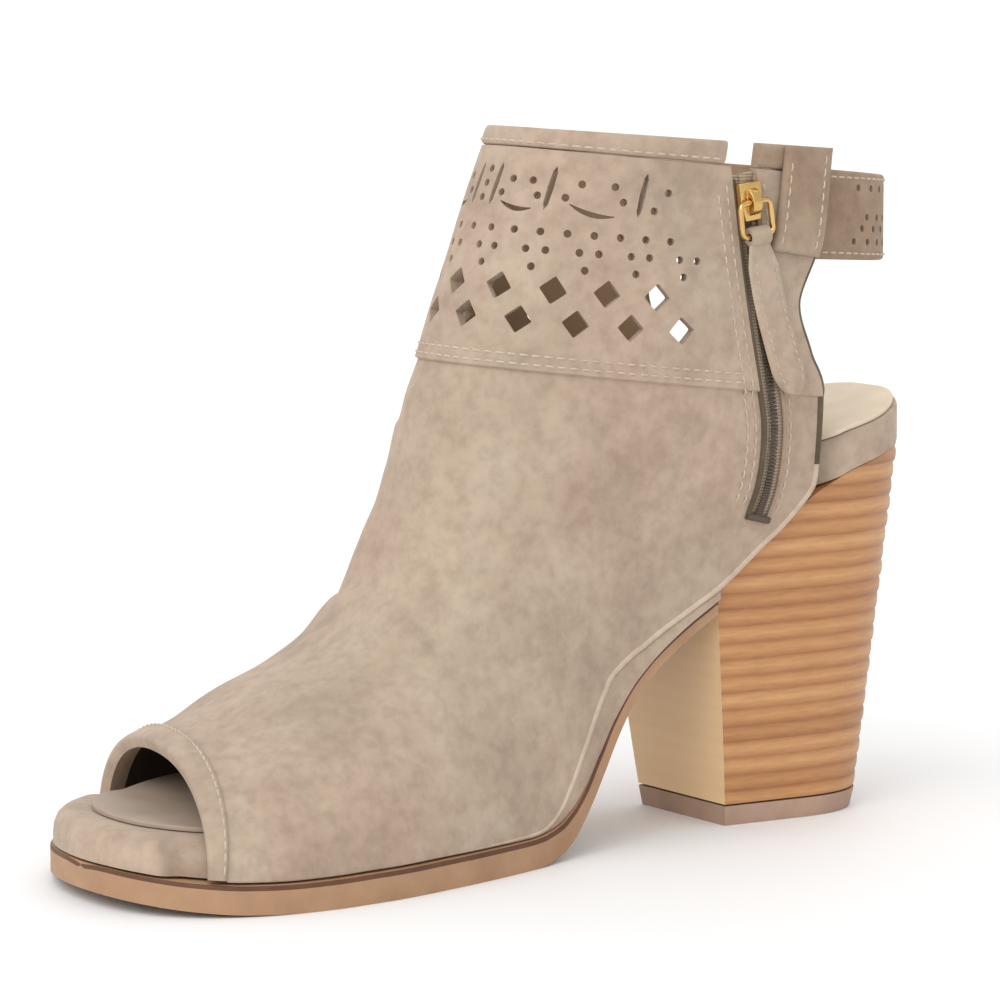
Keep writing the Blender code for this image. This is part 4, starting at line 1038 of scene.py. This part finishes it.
def zip_path(shift):
    """Path beside the zip, which steps out where the collar laps the vamp."""
    points = np.array([beside_zip(t, shift) for t in np.linspace(0.05, 0.97, 120)])
    seam_z = on_upper(SEAM_ROW, 0.06)[0][2]
    points[:, 0] += np.where(points[:, 2] > seam_z, COLLAR_LAP, 0.00005)
    return points, SIDEWAYS


stitches("zip_stitches", [zip_path(s * (0.5 * ZIP_WIDTH + d)) for s, d in
                          ((1, 0.0018), (1, 0.0042), (-1, 0.0016))])

# %% [markdown]
# ## Zip
# The tape is a woven strip, which the frame already holds at the right place, and it only
# needs its weave. The coil is a row of small loops, too fine for the solid, so each loop is a
# short tube across the middle, with a thin bead on both sides: folded leather at the back,
# and at the front a dark strip that paints the shadow in the gap at the zip's edge.

# %% Zip teeth and lips
def coated(piece, material):
    piece.data.materials.clear()
    piece.data.materials.append(material)


coated(frame["nodes"]["zip_tape"], TAPE)
COIL_HALF, COIL_RISE, COIL_RADIUS, COIL_LOOPS = 0.00095, 0.00022, 0.00034, 88


def zip_teeth():
    points, faces = [], []
    for t in 0.02 + 0.86 * np.arange(COIL_LOOPS) / (COIL_LOOPS - 1):
        line = np.array([beside_zip(t, s * COIL_HALF, COIL_RISE * (2.0 - s * s))
                         for s in (-1.0, -0.5, 0.0, 0.5, 1.0)])
        faces += loft_faces(5, 6, len(points))
        points += list(tube_rings(line, SIDEWAYS, COIL_RADIUS, 6).reshape(-1, 3))
    show("zip_coil", points, faces, [COIL], smooth=70.0)


def zip_lip(name, side, material, radius, shift):
    path = np.array([beside_zip(t, side * (0.5 * ZIP_WIDTH + shift), 0.0002)
                     for t in np.linspace(0.01, 0.975, 110)])
    tube(name, path, SIDEWAYS, radius, 8, material)


def zip_stop():
    path = np.array([beside_zip(0.004, s * 0.5 * ZIP_WIDTH, 0.0004)
                     for s in np.linspace(-1, 1, 9)])
    tube("zip_stop", path, SIDEWAYS, 0.0009, 10, COIL)


zip_teeth()
zip_stop()
# The front lip is a dark strip that paints the shadow in the gap at the zip's front edge.
zip_lip("front_zip_lip", 1, SHADE, 0.00075, -0.0005)
zip_lip("rear_zip_lip", -1, KEEPER, 0.00050, -0.0003)

# %% [markdown]
# ## Slider and bail
# Both are cast metal with softened edges. The frame's solids have the right holes and places,
# so a copy of each gets a bevel or a subdivision and is turned into plain mesh.

# %% Hardware
def softened(node, name, body, kind, **values):
    piece = frame["nodes"][node].copy()
    piece.data = frame["nodes"][node].data.copy()
    piece.name = name
    piece.parent = None
    for key in list(piece.keys()):
        del piece[key]
    bpy.context.collection.objects.link(piece)
    work = bmesh.new()
    work.from_mesh(piece.data)
    bmesh.ops.remove_doubles(work, verts=work.verts, dist=1e-6)
    work.to_mesh(piece.data)
    work.free()
    modifier = piece.modifiers.new("soften", kind)
    for key, value in values.items():
        setattr(modifier, key, value)
    applied(piece)
    smoothed(piece, 50.0)
    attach(piece, body)
    coated(piece, GOLD)
    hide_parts(node)
    print("%s: %d faces" % (name, len(piece.data.polygons)))


softened("zip_slider", "gold_slider", "shoe", "BEVEL", width=0.00022, segments=2,
         limit_method="ANGLE", angle_limit=math.radians(35.0))
softened("pull_bail", "gold_bail", "pull", "SUBSURF", levels=2, render_levels=2)

# %% [markdown]
# ## Pull tab
# The tab is two layers of suede glued back to back, so its cut edge shows pale. It hangs from
# the bail and lies along the shoe. Its solid gives the place; a finer one with a rounded tip,
# a crowned face and stitches near the edge takes over.

# %% Pull tab
TAB_LENGTH, TAB_WIDTH, TAB_THICKNESS = 0.0400, 0.0084, 0.0018
TAB_CLEAR, TAB_SLANT, TAB_NECK, TAB_SPREAD = 0.0006, 0.0065, 0.94, 0.16
TAB_NECK_END, TAB_TIP_START = 0.15, 0.82
BAIL_WIRE, BAIL_WIDTH, BAIL_LENGTH = 0.0015, 0.0104, 0.0096
pull_joint = frame["joints"][0]
PIVOT = np.array(pull_joint["pos_m"])
AHEAD = unit(np.array(pull_joint["axis"]))


def tab_axes():
    """Down the zip, from the slider's place on it, square to the hinge."""
    y0, z0 = zip_middle(0.87)
    y1, z1 = zip_middle(0.93)
    down = unit(np.array((side_x(y0, z0) - side_x(y1, z1), y0 - y1, z0 - z1)))
    down = unit(down - AHEAD * np.dot(down, AHEAD))
    return down, unit(np.cross(AHEAD, down))


def make_tab():
    down, out = tab_axes()
    bar = PIVOT + down * (BAIL_LENGTH - BAIL_WIRE)
    loop_half = 0.5 * BAIL_WIDTH - 1.5 * BAIL_WIRE - GAP
    hole = 0.5 * BAIL_WIRE + GAP
    count = 70
    rings, edge_paths = [], ([], [])
    for i in range(count):
        t = math.sin(0.5 * math.pi * i / (count - 1))
        wide = 0.5 * TAB_WIDTH * (TAB_NECK + TAB_SPREAD * t)
        if t < TAB_NECK_END:
            wide = loop_half + (wide - loop_half) * t / TAB_NECK_END
        if t > TAB_TIP_START:
            tip = (t - TAB_TIP_START) / (1.0 - TAB_TIP_START)
            wide *= math.sqrt(max(1.0 - tip ** 2, 0.004))
        length = hole + 0.5 * TAB_THICKNESS + (TAB_LENGTH - 0.3 * TAB_WIDTH) * t
        middle = bar + down * length - AHEAD * TAB_SLANT * t ** 1.2
        spots = [middle + AHEAD * wide * s for s in (-1, 0, 1)]
        floor = max(side_x(p[1], p[2]) for p in spots) + COLLAR_LAP + TAB_CLEAR
        start_x = bar[0] - 0.5 * TAB_THICKNESS
        x = start_x + (floor - start_x) * soft_step(min(2.0 * t, 1.0))
        ring = []
        for s, depth in ((-1.0, 0.2), (-1.0, 0.5), (-1.0, 0.8), (-0.9, 1.0), (-0.4, 1.06),
                         (0.4, 1.06), (0.9, 1.0), (1.0, 0.8), (1.0, 0.5), (1.0, 0.2),
                         (0.9, 0.0), (-0.9, 0.0)):
            spot = middle + AHEAD * wide * s
            ring.append((x + depth * TAB_THICKNESS, spot[1], spot[2]))
        rings.append(ring)
        if 0.10 < t < 0.965:
            for path, s in zip(edge_paths, (-1, 1)):
                spot = middle + AHEAD * max(wide - 0.0013, 0.0) * s
                path.append((x + 1.03 * TAB_THICKNESS, spot[1], spot[2]))
    faces = loft_faces(count, 12)
    kinds = [1, 1, 0, 0, 0, 0, 0, 1, 1, 0, 0, 0] * (count - 1) + [1, 1]
    points = [p for ring in rings for p in ring]
    outer, corner = hole + 0.7 * TAB_THICKNESS, hole + 0.55 * TAB_THICKNESS
    sleeve = [[bar + AHEAD * loop_half * s + (out * math.cos(a) + down * math.sin(a)) * radius
               for a in np.arange(24) * 2.0 * math.pi / 24]
              for s, radius in ((-1.0, corner), (-0.93, outer), (0.93, outer), (1.0, corner),
                                (1.0, hole), (-1.0, hole))]
    sleeve_faces = loft_faces(6, 24, len(points), closed=True)
    points += [p for ring in sleeve for p in ring]
    show("suede_pull_tab", points, faces + sleeve_faces, [TAUPE, EDGE], ["pull_tab"],
         body="pull", kinds=kinds + [0] * len(sleeve_faces))
    stitches("pull_tab_stitches", [(np.array(path), SIDEWAYS) for path in edge_paths],
             body="pull", length=0.0013, pitch=0.0021, radius=0.00020)


make_tab()

# %% [markdown]
# ## Sling strap and keepers
# The strap goes from the heel panel round the back of the ankle and is held by a suede keeper
# on each side. It is a flat band with rolled edges, so its section is a rounded rectangle on
# an oval. Small holes repeat the collar's pattern on it.

# %% Strap
STRAP_HEIGHT, STRAP_THICKNESS, STRAP_BACK, STRAP_TOP = 0.0220, 0.0020, 0.0322, 0.865
STRAP_SEAT, STRAP_DROP, OVAL = 0.0100, 0.0035, 2.35
STRAP_STEPS, STRAP_DOT, STRAP_MARGIN = 140, 0.0009, 0.0019
# Rise from the strap's middle, and lean in degrees, of the four holes in a group
STRAP_HOLES = ((0.0068, 0.0), (-0.0030, 2.5), (-0.0062, -2.5), (-0.0002, 6.0))


def strap_point(angle, height, offset):
    front = on_upper(TOP_ROW - 1.0, 0.0)[0][1] - STRAP_SEAT
    wide = 0.5 * COLLAR_WIDTH - WALL - BINDING_ROLL - 2.0 * GAP + offset
    back = STRAP_BACK - STRAP_THICKNESS - front + offset
    power = 2.0 / OVAL
    x = wide * math.copysign(abs(math.cos(angle)) ** power, math.cos(angle))
    y = front + back * max(math.sin(angle), 0.0) ** power
    return np.array((x, y, height - STRAP_DROP * math.sin(angle)))


def make_strap():
    top = HEEL_HEIGHT + STRAP_TOP * SHAFT_HEIGHT
    angles = np.linspace(0.0, math.pi, STRAP_STEPS)
    rim = 0.0006
    rings = []
    for angle in angles:
        high = top - rim * math.sin(angle)
        low = top - STRAP_HEIGHT + rim * math.sin(angle)
        t = STRAP_THICKNESS
        rings.append([strap_point(angle, h, d) for h, d in (
            (low + rim, 0.0), (low + 3 * rim, 0.0), (0.5 * (low + high), 0.0),
            (high - 3 * rim, 0.0), (high - rim, 0.0), (high - 0.2 * rim, -0.2 * t),
            (high, -0.5 * t),
            (high - 0.2 * rim, -0.8 * t), (high - rim, -t), (low + rim, -t),
            (low + 0.2 * rim, -0.8 * t), (low, -0.5 * t), (low + 0.2 * rim, -0.2 * t))])
    # The strap's darker suede is partly its own tone and partly painted shade.
    piece = show("suede_sling_strap", np.array(rings).reshape(-1, 3), loft_faces(STRAP_STEPS, 13),
                 [SHADED_STRAP_SUEDE], ["sling_strap"], smooth=50.0)
    prisms = []
    middle = top - 0.5 * STRAP_HEIGHT
    for angle_deg in range(32, 149, 9):
        for rise, lean in STRAP_HOLES:
            angle = math.radians(angle_deg + lean)
            centre = strap_point(angle, middle + rise, -0.5 * STRAP_THICKNESS)
            along = unit(strap_point(angle + 0.02, 0.0, 0.0) - strap_point(angle - 0.02, 0.0, 0.0))
            out = unit(np.cross(along, (0.0, 0.0, 1.0)))
            prisms.append([[centre + out * d + along * a + np.array((0.0, 0.0, b))
                            for a, b in round_hole(STRAP_DOT, 10)] for d in (-0.004, 0.004)])
    carve(piece, *joined(prisms), smooth=50.0)
    paths = []
    for rise in (-0.5 * STRAP_HEIGHT + STRAP_MARGIN, 0.5 * STRAP_HEIGHT - STRAP_MARGIN):
        path = np.array([strap_point(a, middle + rise, 0.00004) for a in angles[6:-6]])
        along = unit(np.gradient(path, axis=0))
        normals = unit(np.cross(along, (0.0, 0.0, 1.0)))
        normals *= np.sign(np.sum(normals[:, :2] * path[:, :2], axis=1))[:, None]
        paths.append((path, normals))
    stitches("sling_strap_stitches", paths)


make_strap()

# %% [markdown]
# ### Keepers
# A keeper is a short band sewn over the collar, front edge and back edge, which traps the
# strap. It follows the upper's surface, so a slab between two lifts of that surface does, with
# its outside rounded off at the rim.

# %% Keepers
KEEPER_THICKNESS, KEEPER_FOOT_ROW, KEEPER_REACH = 0.0016, 13.75, 0.047


def make_keeper(side, first, tall=40, wide=22):
    rise = COLLAR_LAP + BINDING_ROLL + GAP
    rows = np.linspace(KEEPER_FOOT_ROW, TOP_ROW, tall)
    places = np.linspace(first, first + KEEPER_REACH, wide)
    margin_rows = np.minimum(rows - rows[0], rows[-1] - rows)[:, None] / 0.06
    margin_places = np.minimum(places - places[0], places[-1] - places)[None, :] / 0.005
    crown = np.clip(np.minimum(margin_rows, margin_places), 0.0, 1.0)
    lift = rise + KEEPER_THICKNESS * (0.55 + 0.45 * np.sqrt(1.0 - (1.0 - crown) ** 2))
    top, _ = on_upper(rows[:, None], places[None, :], lift)
    low, _ = on_upper(rows[:, None], places[None, :], np.full((tall, wide), rise))
    points, faces, _ = slab(top, low)
    show(side + "_suede_keeper", points, faces, [KEEPER], [side + "_keeper"], smooth=50.0)
    paths = []
    for place in (first + 0.006, first + KEEPER_REACH - 0.006):
        line = np.linspace(KEEPER_FOOT_ROW + 0.10, TOP_ROW - 0.06, 80)
        paths.append(on_upper(line, place, np.full(80, rise + KEEPER_THICKNESS)))
    stitches(side + "_keeper_stitches", paths)


make_keeper("medial", 0.0)
make_keeper("lateral", 1.0 - KEEPER_REACH)

# %% [markdown]
# ## Layers under the foot
# From the ground up there is the outsole, the wrapped shank, the suede covered footbed and
# the pale sock. Each is a layer with the foot's outline, a slope that climbs to the seat, and
# rounded edges. One loft across the shoe makes them all: only the outline, the two heights
# and the edge's radius differ.

# %% Layer maker
def shares_between(first, last, count):
    return [first + (last - first) * 0.5 * (1.0 - math.cos(math.pi * i / (count - 1)))
            for i in range(count)]


CORNER = [math.radians(a) for a in (0, 22, 45, 68, 90)]


def layer(name, first, last, edges, low, high, radius, materials, slot, node, side_kind=0,
          line_kind=0, under_kind=0, count=150, reach=1.0):
    """Layer between two heights; the kinds number the materials of its side, rim and base."""
    rings = []
    for share in shares_between(first, last, count):
        y, bottom, top = y_at(share), low(share), high(share)
        left, right = edges(share)
        if share in (first, last) and right - left < 0.002:
            left, right = 0.5 * (left + right) - 0.0001, 0.5 * (left + right) + 0.0001
        rim = min(radius(share), 0.86 * (top - bottom))
        inside = min(min(share - first, last - share) * LENGTH / (rim * reach), 1.0)
        top -= rim * (1.0 - math.sqrt(1.0 - (1.0 - inside) ** 2))
        soft = min(radius(share), 0.86 * (top - bottom), 0.45 * (right - left) / reach)
        line = min(0.0004, 0.1 * (top - bottom))
        inward = soft * reach
        ring = [(left, y, bottom), (left, y, top - soft - line)]
        ring += [(left + inward * (1 - math.cos(a)), y, top - soft + soft * math.sin(a))
                 for a in CORNER]
        ring += [(left + (right - left) * s, y, top) for s in (0.48, 0.5, 0.52)]
        ring += [(right - inward * (1 - math.cos(a)), y, top - soft + soft * math.sin(a))
                 for a in CORNER[::-1]]
        ring += [(right, y, top - soft - line), (right, y, bottom)]
        rings.append(ring)
    size = len(rings[0])
    faces = loft_faces(count, size)
    row = [side_kind] + [line_kind] * 5 + [0] * (size - 13) + [line_kind] * 5
    row += [side_kind, under_kind]
    show(name, [p for ring in rings for p in ring], faces, materials, [node],
         smooth=50.0, kinds=row * (count - 1) + [side_kind, side_kind])


print("layer maker ready")

# %% [markdown]
# ### Outsole and shank
# The outsole runs under the forefoot and up to the breast of the heel, with a painted edge, a
# dark line where it meets the upper and a rougher tread. The shank wrap fills the waist above
# it. Both stop just short of the heel.

# %% Outsole and shank
BREAST_SHARE = share_of(BREAST_TOP - GAP)
SHANK_FRONT, THIN_ROUND = 0.5199, 0.0006


def outsole_edges(share):
    grow = SOLE_LIP * column(PROFILE, 5, share)
    return outline_x(share, -1, grow), outline_x(share, 1, grow)


layer("leather_outsole", BREAST_SHARE, 1.0, outsole_edges, tread, outsole_top,
      lambda share: THIN_ROUND, [SOLE, DARK_RIM_LINE, TREAD], "outsole", "outsole", 0, 1, 2)


def shank_edges(share):
    return outline_x(share, -1, -0.0004), outline_x(share, 1, -0.0004)


layer("wrapped_shank", BREAST_SHARE, SHANK_FRONT, shank_edges, lambda s: outsole_top(s) + GAP,
      lambda s: max(shank_top(s), outsole_top(s) + 2.0 * GAP), lambda share: THIN_ROUND,
      [TAUPE], "suede", "shank_wrap", count=90)

# %% [markdown]
# ## Footbed and sock
# The footbed shows at the open toe as a soft suede cushion and at the heel as a crisp wrapped
# board. So its edge radius grows from the seat to the toe. The sock on it is thin cream
# leather and stops just inside the rounded edge.

# %% Footbed and sock
FOOTBED_EDGE, FOOTBED_ROUND, FOOTBED_EASE, SEAT_ROUND = 0.0085, 0.0032, 0.0023, 0.0012
SOCK, SOCK_INSET, SOCK_ROUND = 0.0010, 0.0020, 0.0005
TUCK_RAMP, TOE_ROUND, SEAT_INSET = 0.034, 0.0066, 0.0008


def opening_step(share, side):
    number = 5 if side > 0 else 6
    margin = (BINDING_ROLL + 3.0 * GAP) / LENGTH
    toe = SECTIONS[0][number] + margin
    heel = min(row[number] for row in SECTIONS) - margin
    away = min(max(share - toe, heel - share, 0.0) / TUCK_RAMP, 1.0)
    return (WALL + BINDING_ROLL + FOOTBED_EASE) * (1.0 - soft_step(away))


def turn(share, side):
    first, last = max(share - SLOPE_STEP, 0.0), min(share + SLOPE_STEP, 1.0)
    slope = (outline_x(last, side) - outline_x(first, side)) / ((last - first) * LENGTH)
    return min(math.hypot(1.0, slope), 3.0)


def footbed_edges(share):
    return (outline_x(share, -1, -opening_step(share, -1) * turn(share, -1)),
            outline_x(share, 1, -opening_step(share, 1) * turn(share, 1)))


def footbed_bottom(share):
    return bed(share) + GAP


def footbed_top(share):
    return footbed_bottom(share) + FOOTBED_EDGE * steepness(share)


def footbed_round(share):
    return (SEAT_ROUND + (FOOTBED_ROUND - SEAT_ROUND) * part_way(share, 0.3, 0.7)
            + (TOE_ROUND - FOOTBED_ROUND) * part_way(share, 0.78, 0.88))


def sock_edges(share):
    t = (share - SOCK_START) / (SOCK_END - SOCK_START)
    middle = BALL_WIDTH * column(OUTLINE, 4, share)
    margin = SEAT_INSET + (SOCK_INSET - SEAT_INSET) * part_way(share, 0.2, 0.4)
    pair = []
    for side, edge in zip((-1, 1), footbed_edges(share)):
        inset = margin + EDGE_REACH * (footbed_round(share) - SEAT_ROUND)
        reach = half_width(share, side) - opening_step(share, side) - inset
        reach = max(reach * cap(t), 2 * GAP)
        inner = abs(edge - middle) - EDGE_REACH * footbed_round(share) - GAP
        pair.append(middle + side * max(min(reach, inner), GAP))
    return pair[0], pair[1]


EDGE_REACH = 1.15
SOCK_START, SOCK_END = SEAT_INSET / LENGTH, 1.0 - (SOCK_INSET + EDGE_REACH * TOE_ROUND) / LENGTH
layer("suede_footbed", 0.0, 1.0, footbed_edges, footbed_bottom, footbed_top, footbed_round,
      [TAUPE], "suede", "footbed", count=190, reach=EDGE_REACH)
# Towards the toe the sock is darkened: partly its suede-covered front, partly painted shade inside
# the toe.
layer("cream_sock", SOCK_START, SOCK_END, sock_edges,
      lambda s: footbed_top(s) + GAP, lambda s: footbed_top(s) + GAP + SOCK, lambda s: SOCK_ROUND,
      [CREAM], "sock_leather", "sock_lining", count=170)

# %% [markdown]
# ## Stacked heel
# The heel is sawn from a block of glued layers and sanded. The middle of each layer stays a
# little proud of its glue lines, so the outline has small waves. Each layer is five rings
# with its own small swelling, and the top is cut to the slope of the seat.

# %% Heel
HEEL_FLOOR_WIDTH, HEEL_FLOOR_BACK, LAYER_STEP = 0.0370, 0.0225, 0.0005
BREAST_NARROWING = 0.93
SIDE_SWELL, BACK_SWELL = 0.12, 1.5


def heel_ring(height, grow, sides=56):
    t = height / HEEL_HEIGHT
    back = HEEL_FLOOR_BACK + (SEAT_BACK - HEEL_FLOOR_BACK) * t
    front = BREAST_FLOOR + (BREAST_TOP - BREAST_FLOOR) * height / bed(share_of(BREAST_TOP))
    wide = 0.5 * (HEEL_FLOOR_WIDTH + (SEAT_WIDTH - HEEL_FLOOR_WIDTH) * t ** 0.8)
    spring = front + 0.52 * (back - front)
    power = 2.0 / OVAL
    ring = []
    for i in range(sides + 1):
        angle = math.pi * i / sides
        c, s = math.cos(angle), max(math.sin(angle), 0.0)
        x = wide * math.copysign(abs(c) ** power, c) + SIDE_SWELL * grow * c
        ring.append((x, spring + (back - spring) * s ** power + BACK_SWELL * grow * s, height))
    corner = wide * BREAST_NARROWING + SIDE_SWELL * grow
    for i in range(7):
        ring.append((-corner + 2.0 * corner * i / 6, front, height))
    return ring


# Place within a layer and its share of the swelling there
LAYER_RINGS = ((0.02, 0.0), (0.12, 0.7), (0.35, 1.0), (0.7, 0.85), (0.9, 0.35))


def make_heel():
    rough = random.Random(7)
    top = HEEL_HEIGHT + LAYER_PITCH
    layers = int(round((top - LIFT_HEIGHT) / LAYER_PITCH))
    tall = (top - LIFT_HEIGHT) / layers
    rings = []
    for i in range(layers):
        low = LIFT_HEIGHT + GAP + (top - LIFT_HEIGHT) * i / layers
        swell = LAYER_STEP * rough.uniform(0.55, 1.15)
        rings += [heel_ring(low + share * tall, swell * grow) for share, grow in LAYER_RINGS]
    piece = show("layered_heel", [p for r in rings for p in r],
                 loft_faces(len(rings), len(rings[0])), [STACK],
                 ["stacked_heel"])
    reach, above = 0.6 * SEAT_WIDTH, HEEL_HEIGHT + 5.0 * LAYER_PITCH
    seat = []
    for share in [-0.10] + list(np.linspace(0.0, share_of(BREAST_TOP), 40)) + [0.36]:
        y = y_at(share)
        low = bed(max(share, 0.0)) - GAP + max(-share, 0.0) * 0.26 * LENGTH
        seat.append([(-reach, y, low), (-reach, y, above), (reach, y, above), (reach, y, low)])
    carve(piece, [p for r in seat for p in r], loft_faces(len(seat), 4))


make_heel()
lift_rings = [heel_ring(0.0002, -0.0002), heel_ring(0.0, -0.0006)][::-1]
lift_rings += [heel_ring(LIFT_HEIGHT * s, LAYER_STEP * s) for s in (0.1, 0.5, 0.9)]
lift_rings += [heel_ring(LIFT_HEIGHT - 0.0001, LAYER_STEP * 0.6)]
show("rubber_heel_lift", [p for r in lift_rings for p in r],
     loft_faces(len(lift_rings), len(lift_rings[0])), [RUBBER], ["heel_lift"])

# %% [markdown]
# ## Studio
# The shoe stands on a pale floor under a broad soft light from above the toe, a second one
# from beside the camera, a weak one from behind and an even bright surround, as in a
# catalogue. The camera looks from the photograph's direction, with a long lens that lets the
# one shoe fill the frame.

# %% Floor, light and camera
FLOOR_SIZE = 60.0


def make_floor():
    made, tree, shader = blank("pale_floor", 0.6)
    tree.links.new(ramp(tree, noise(tree, place_of(tree), 3.0), (0.3, (0.90, 0.90, 0.90)),
                        (0.7, (0.92, 0.92, 0.92))), shader.inputs["Base Color"])
    shader.inputs["Specular IOR Level"].default_value = 0.1
    mesh = bpy.data.meshes.new("floor")
    corners = ((-1, -1), (1, -1), (1, 1), (-1, 1))
    mesh.from_pydata([(x * FLOOR_SIZE, y * FLOOR_SIZE, 0) for x, y in corners], [], [(0, 1, 2, 3)])
    mesh.materials.append(made)
    placed("floor", mesh)


def aimed(direction):
    """Turn of a lamp or camera that looks in a direction."""
    return direction.to_track_quat("-Z", "Y").to_euler()


def sun(name, place, softness, strength):
    """A broad far light: softness is the angle that its source fills, in degrees."""
    lamp = bpy.data.lights.new(name, "SUN")
    lamp.angle = math.radians(softness)
    lamp.energy = strength
    made = placed(name, lamp)
    made.rotation_euler = aimed(-Vector(place))


make_floor()
sun("key_light", (0.25, -0.85, 0.95), 50.0, 1.05)
sun("front_light", (0.95, -0.85, 0.40), 60.0, 0.75)
sun("back_light", (-0.6, 0.7, 0.9), 60.0, 0.45)
world = bpy.data.worlds.new("studio")
bpy.context.scene.world = world
world.use_nodes = True
surround = world.node_tree.nodes["Background"]
surround.inputs["Color"].default_value = (1.0, 1.0, 1.0, 1.0)
surround.inputs["Strength"].default_value = 0.80
bpy.context.scene.view_settings.view_transform = "Standard"

CAMERA_PLACE = (0.89325, -0.67092, 0.20974)
CAMERA_AIM = (0.0, -0.0775, 0.0815)
lens = bpy.data.cameras.new("camera")
lens.sensor_width = 36.0
lens.lens = 164.0
lens.clip_end = 200.0
camera = placed("camera", lens)
camera.location = CAMERA_PLACE
camera.rotation_euler = aimed(Vector(CAMERA_AIM) - Vector(CAMERA_PLACE))
bpy.context.scene.camera = camera
print("camera and lights placed")
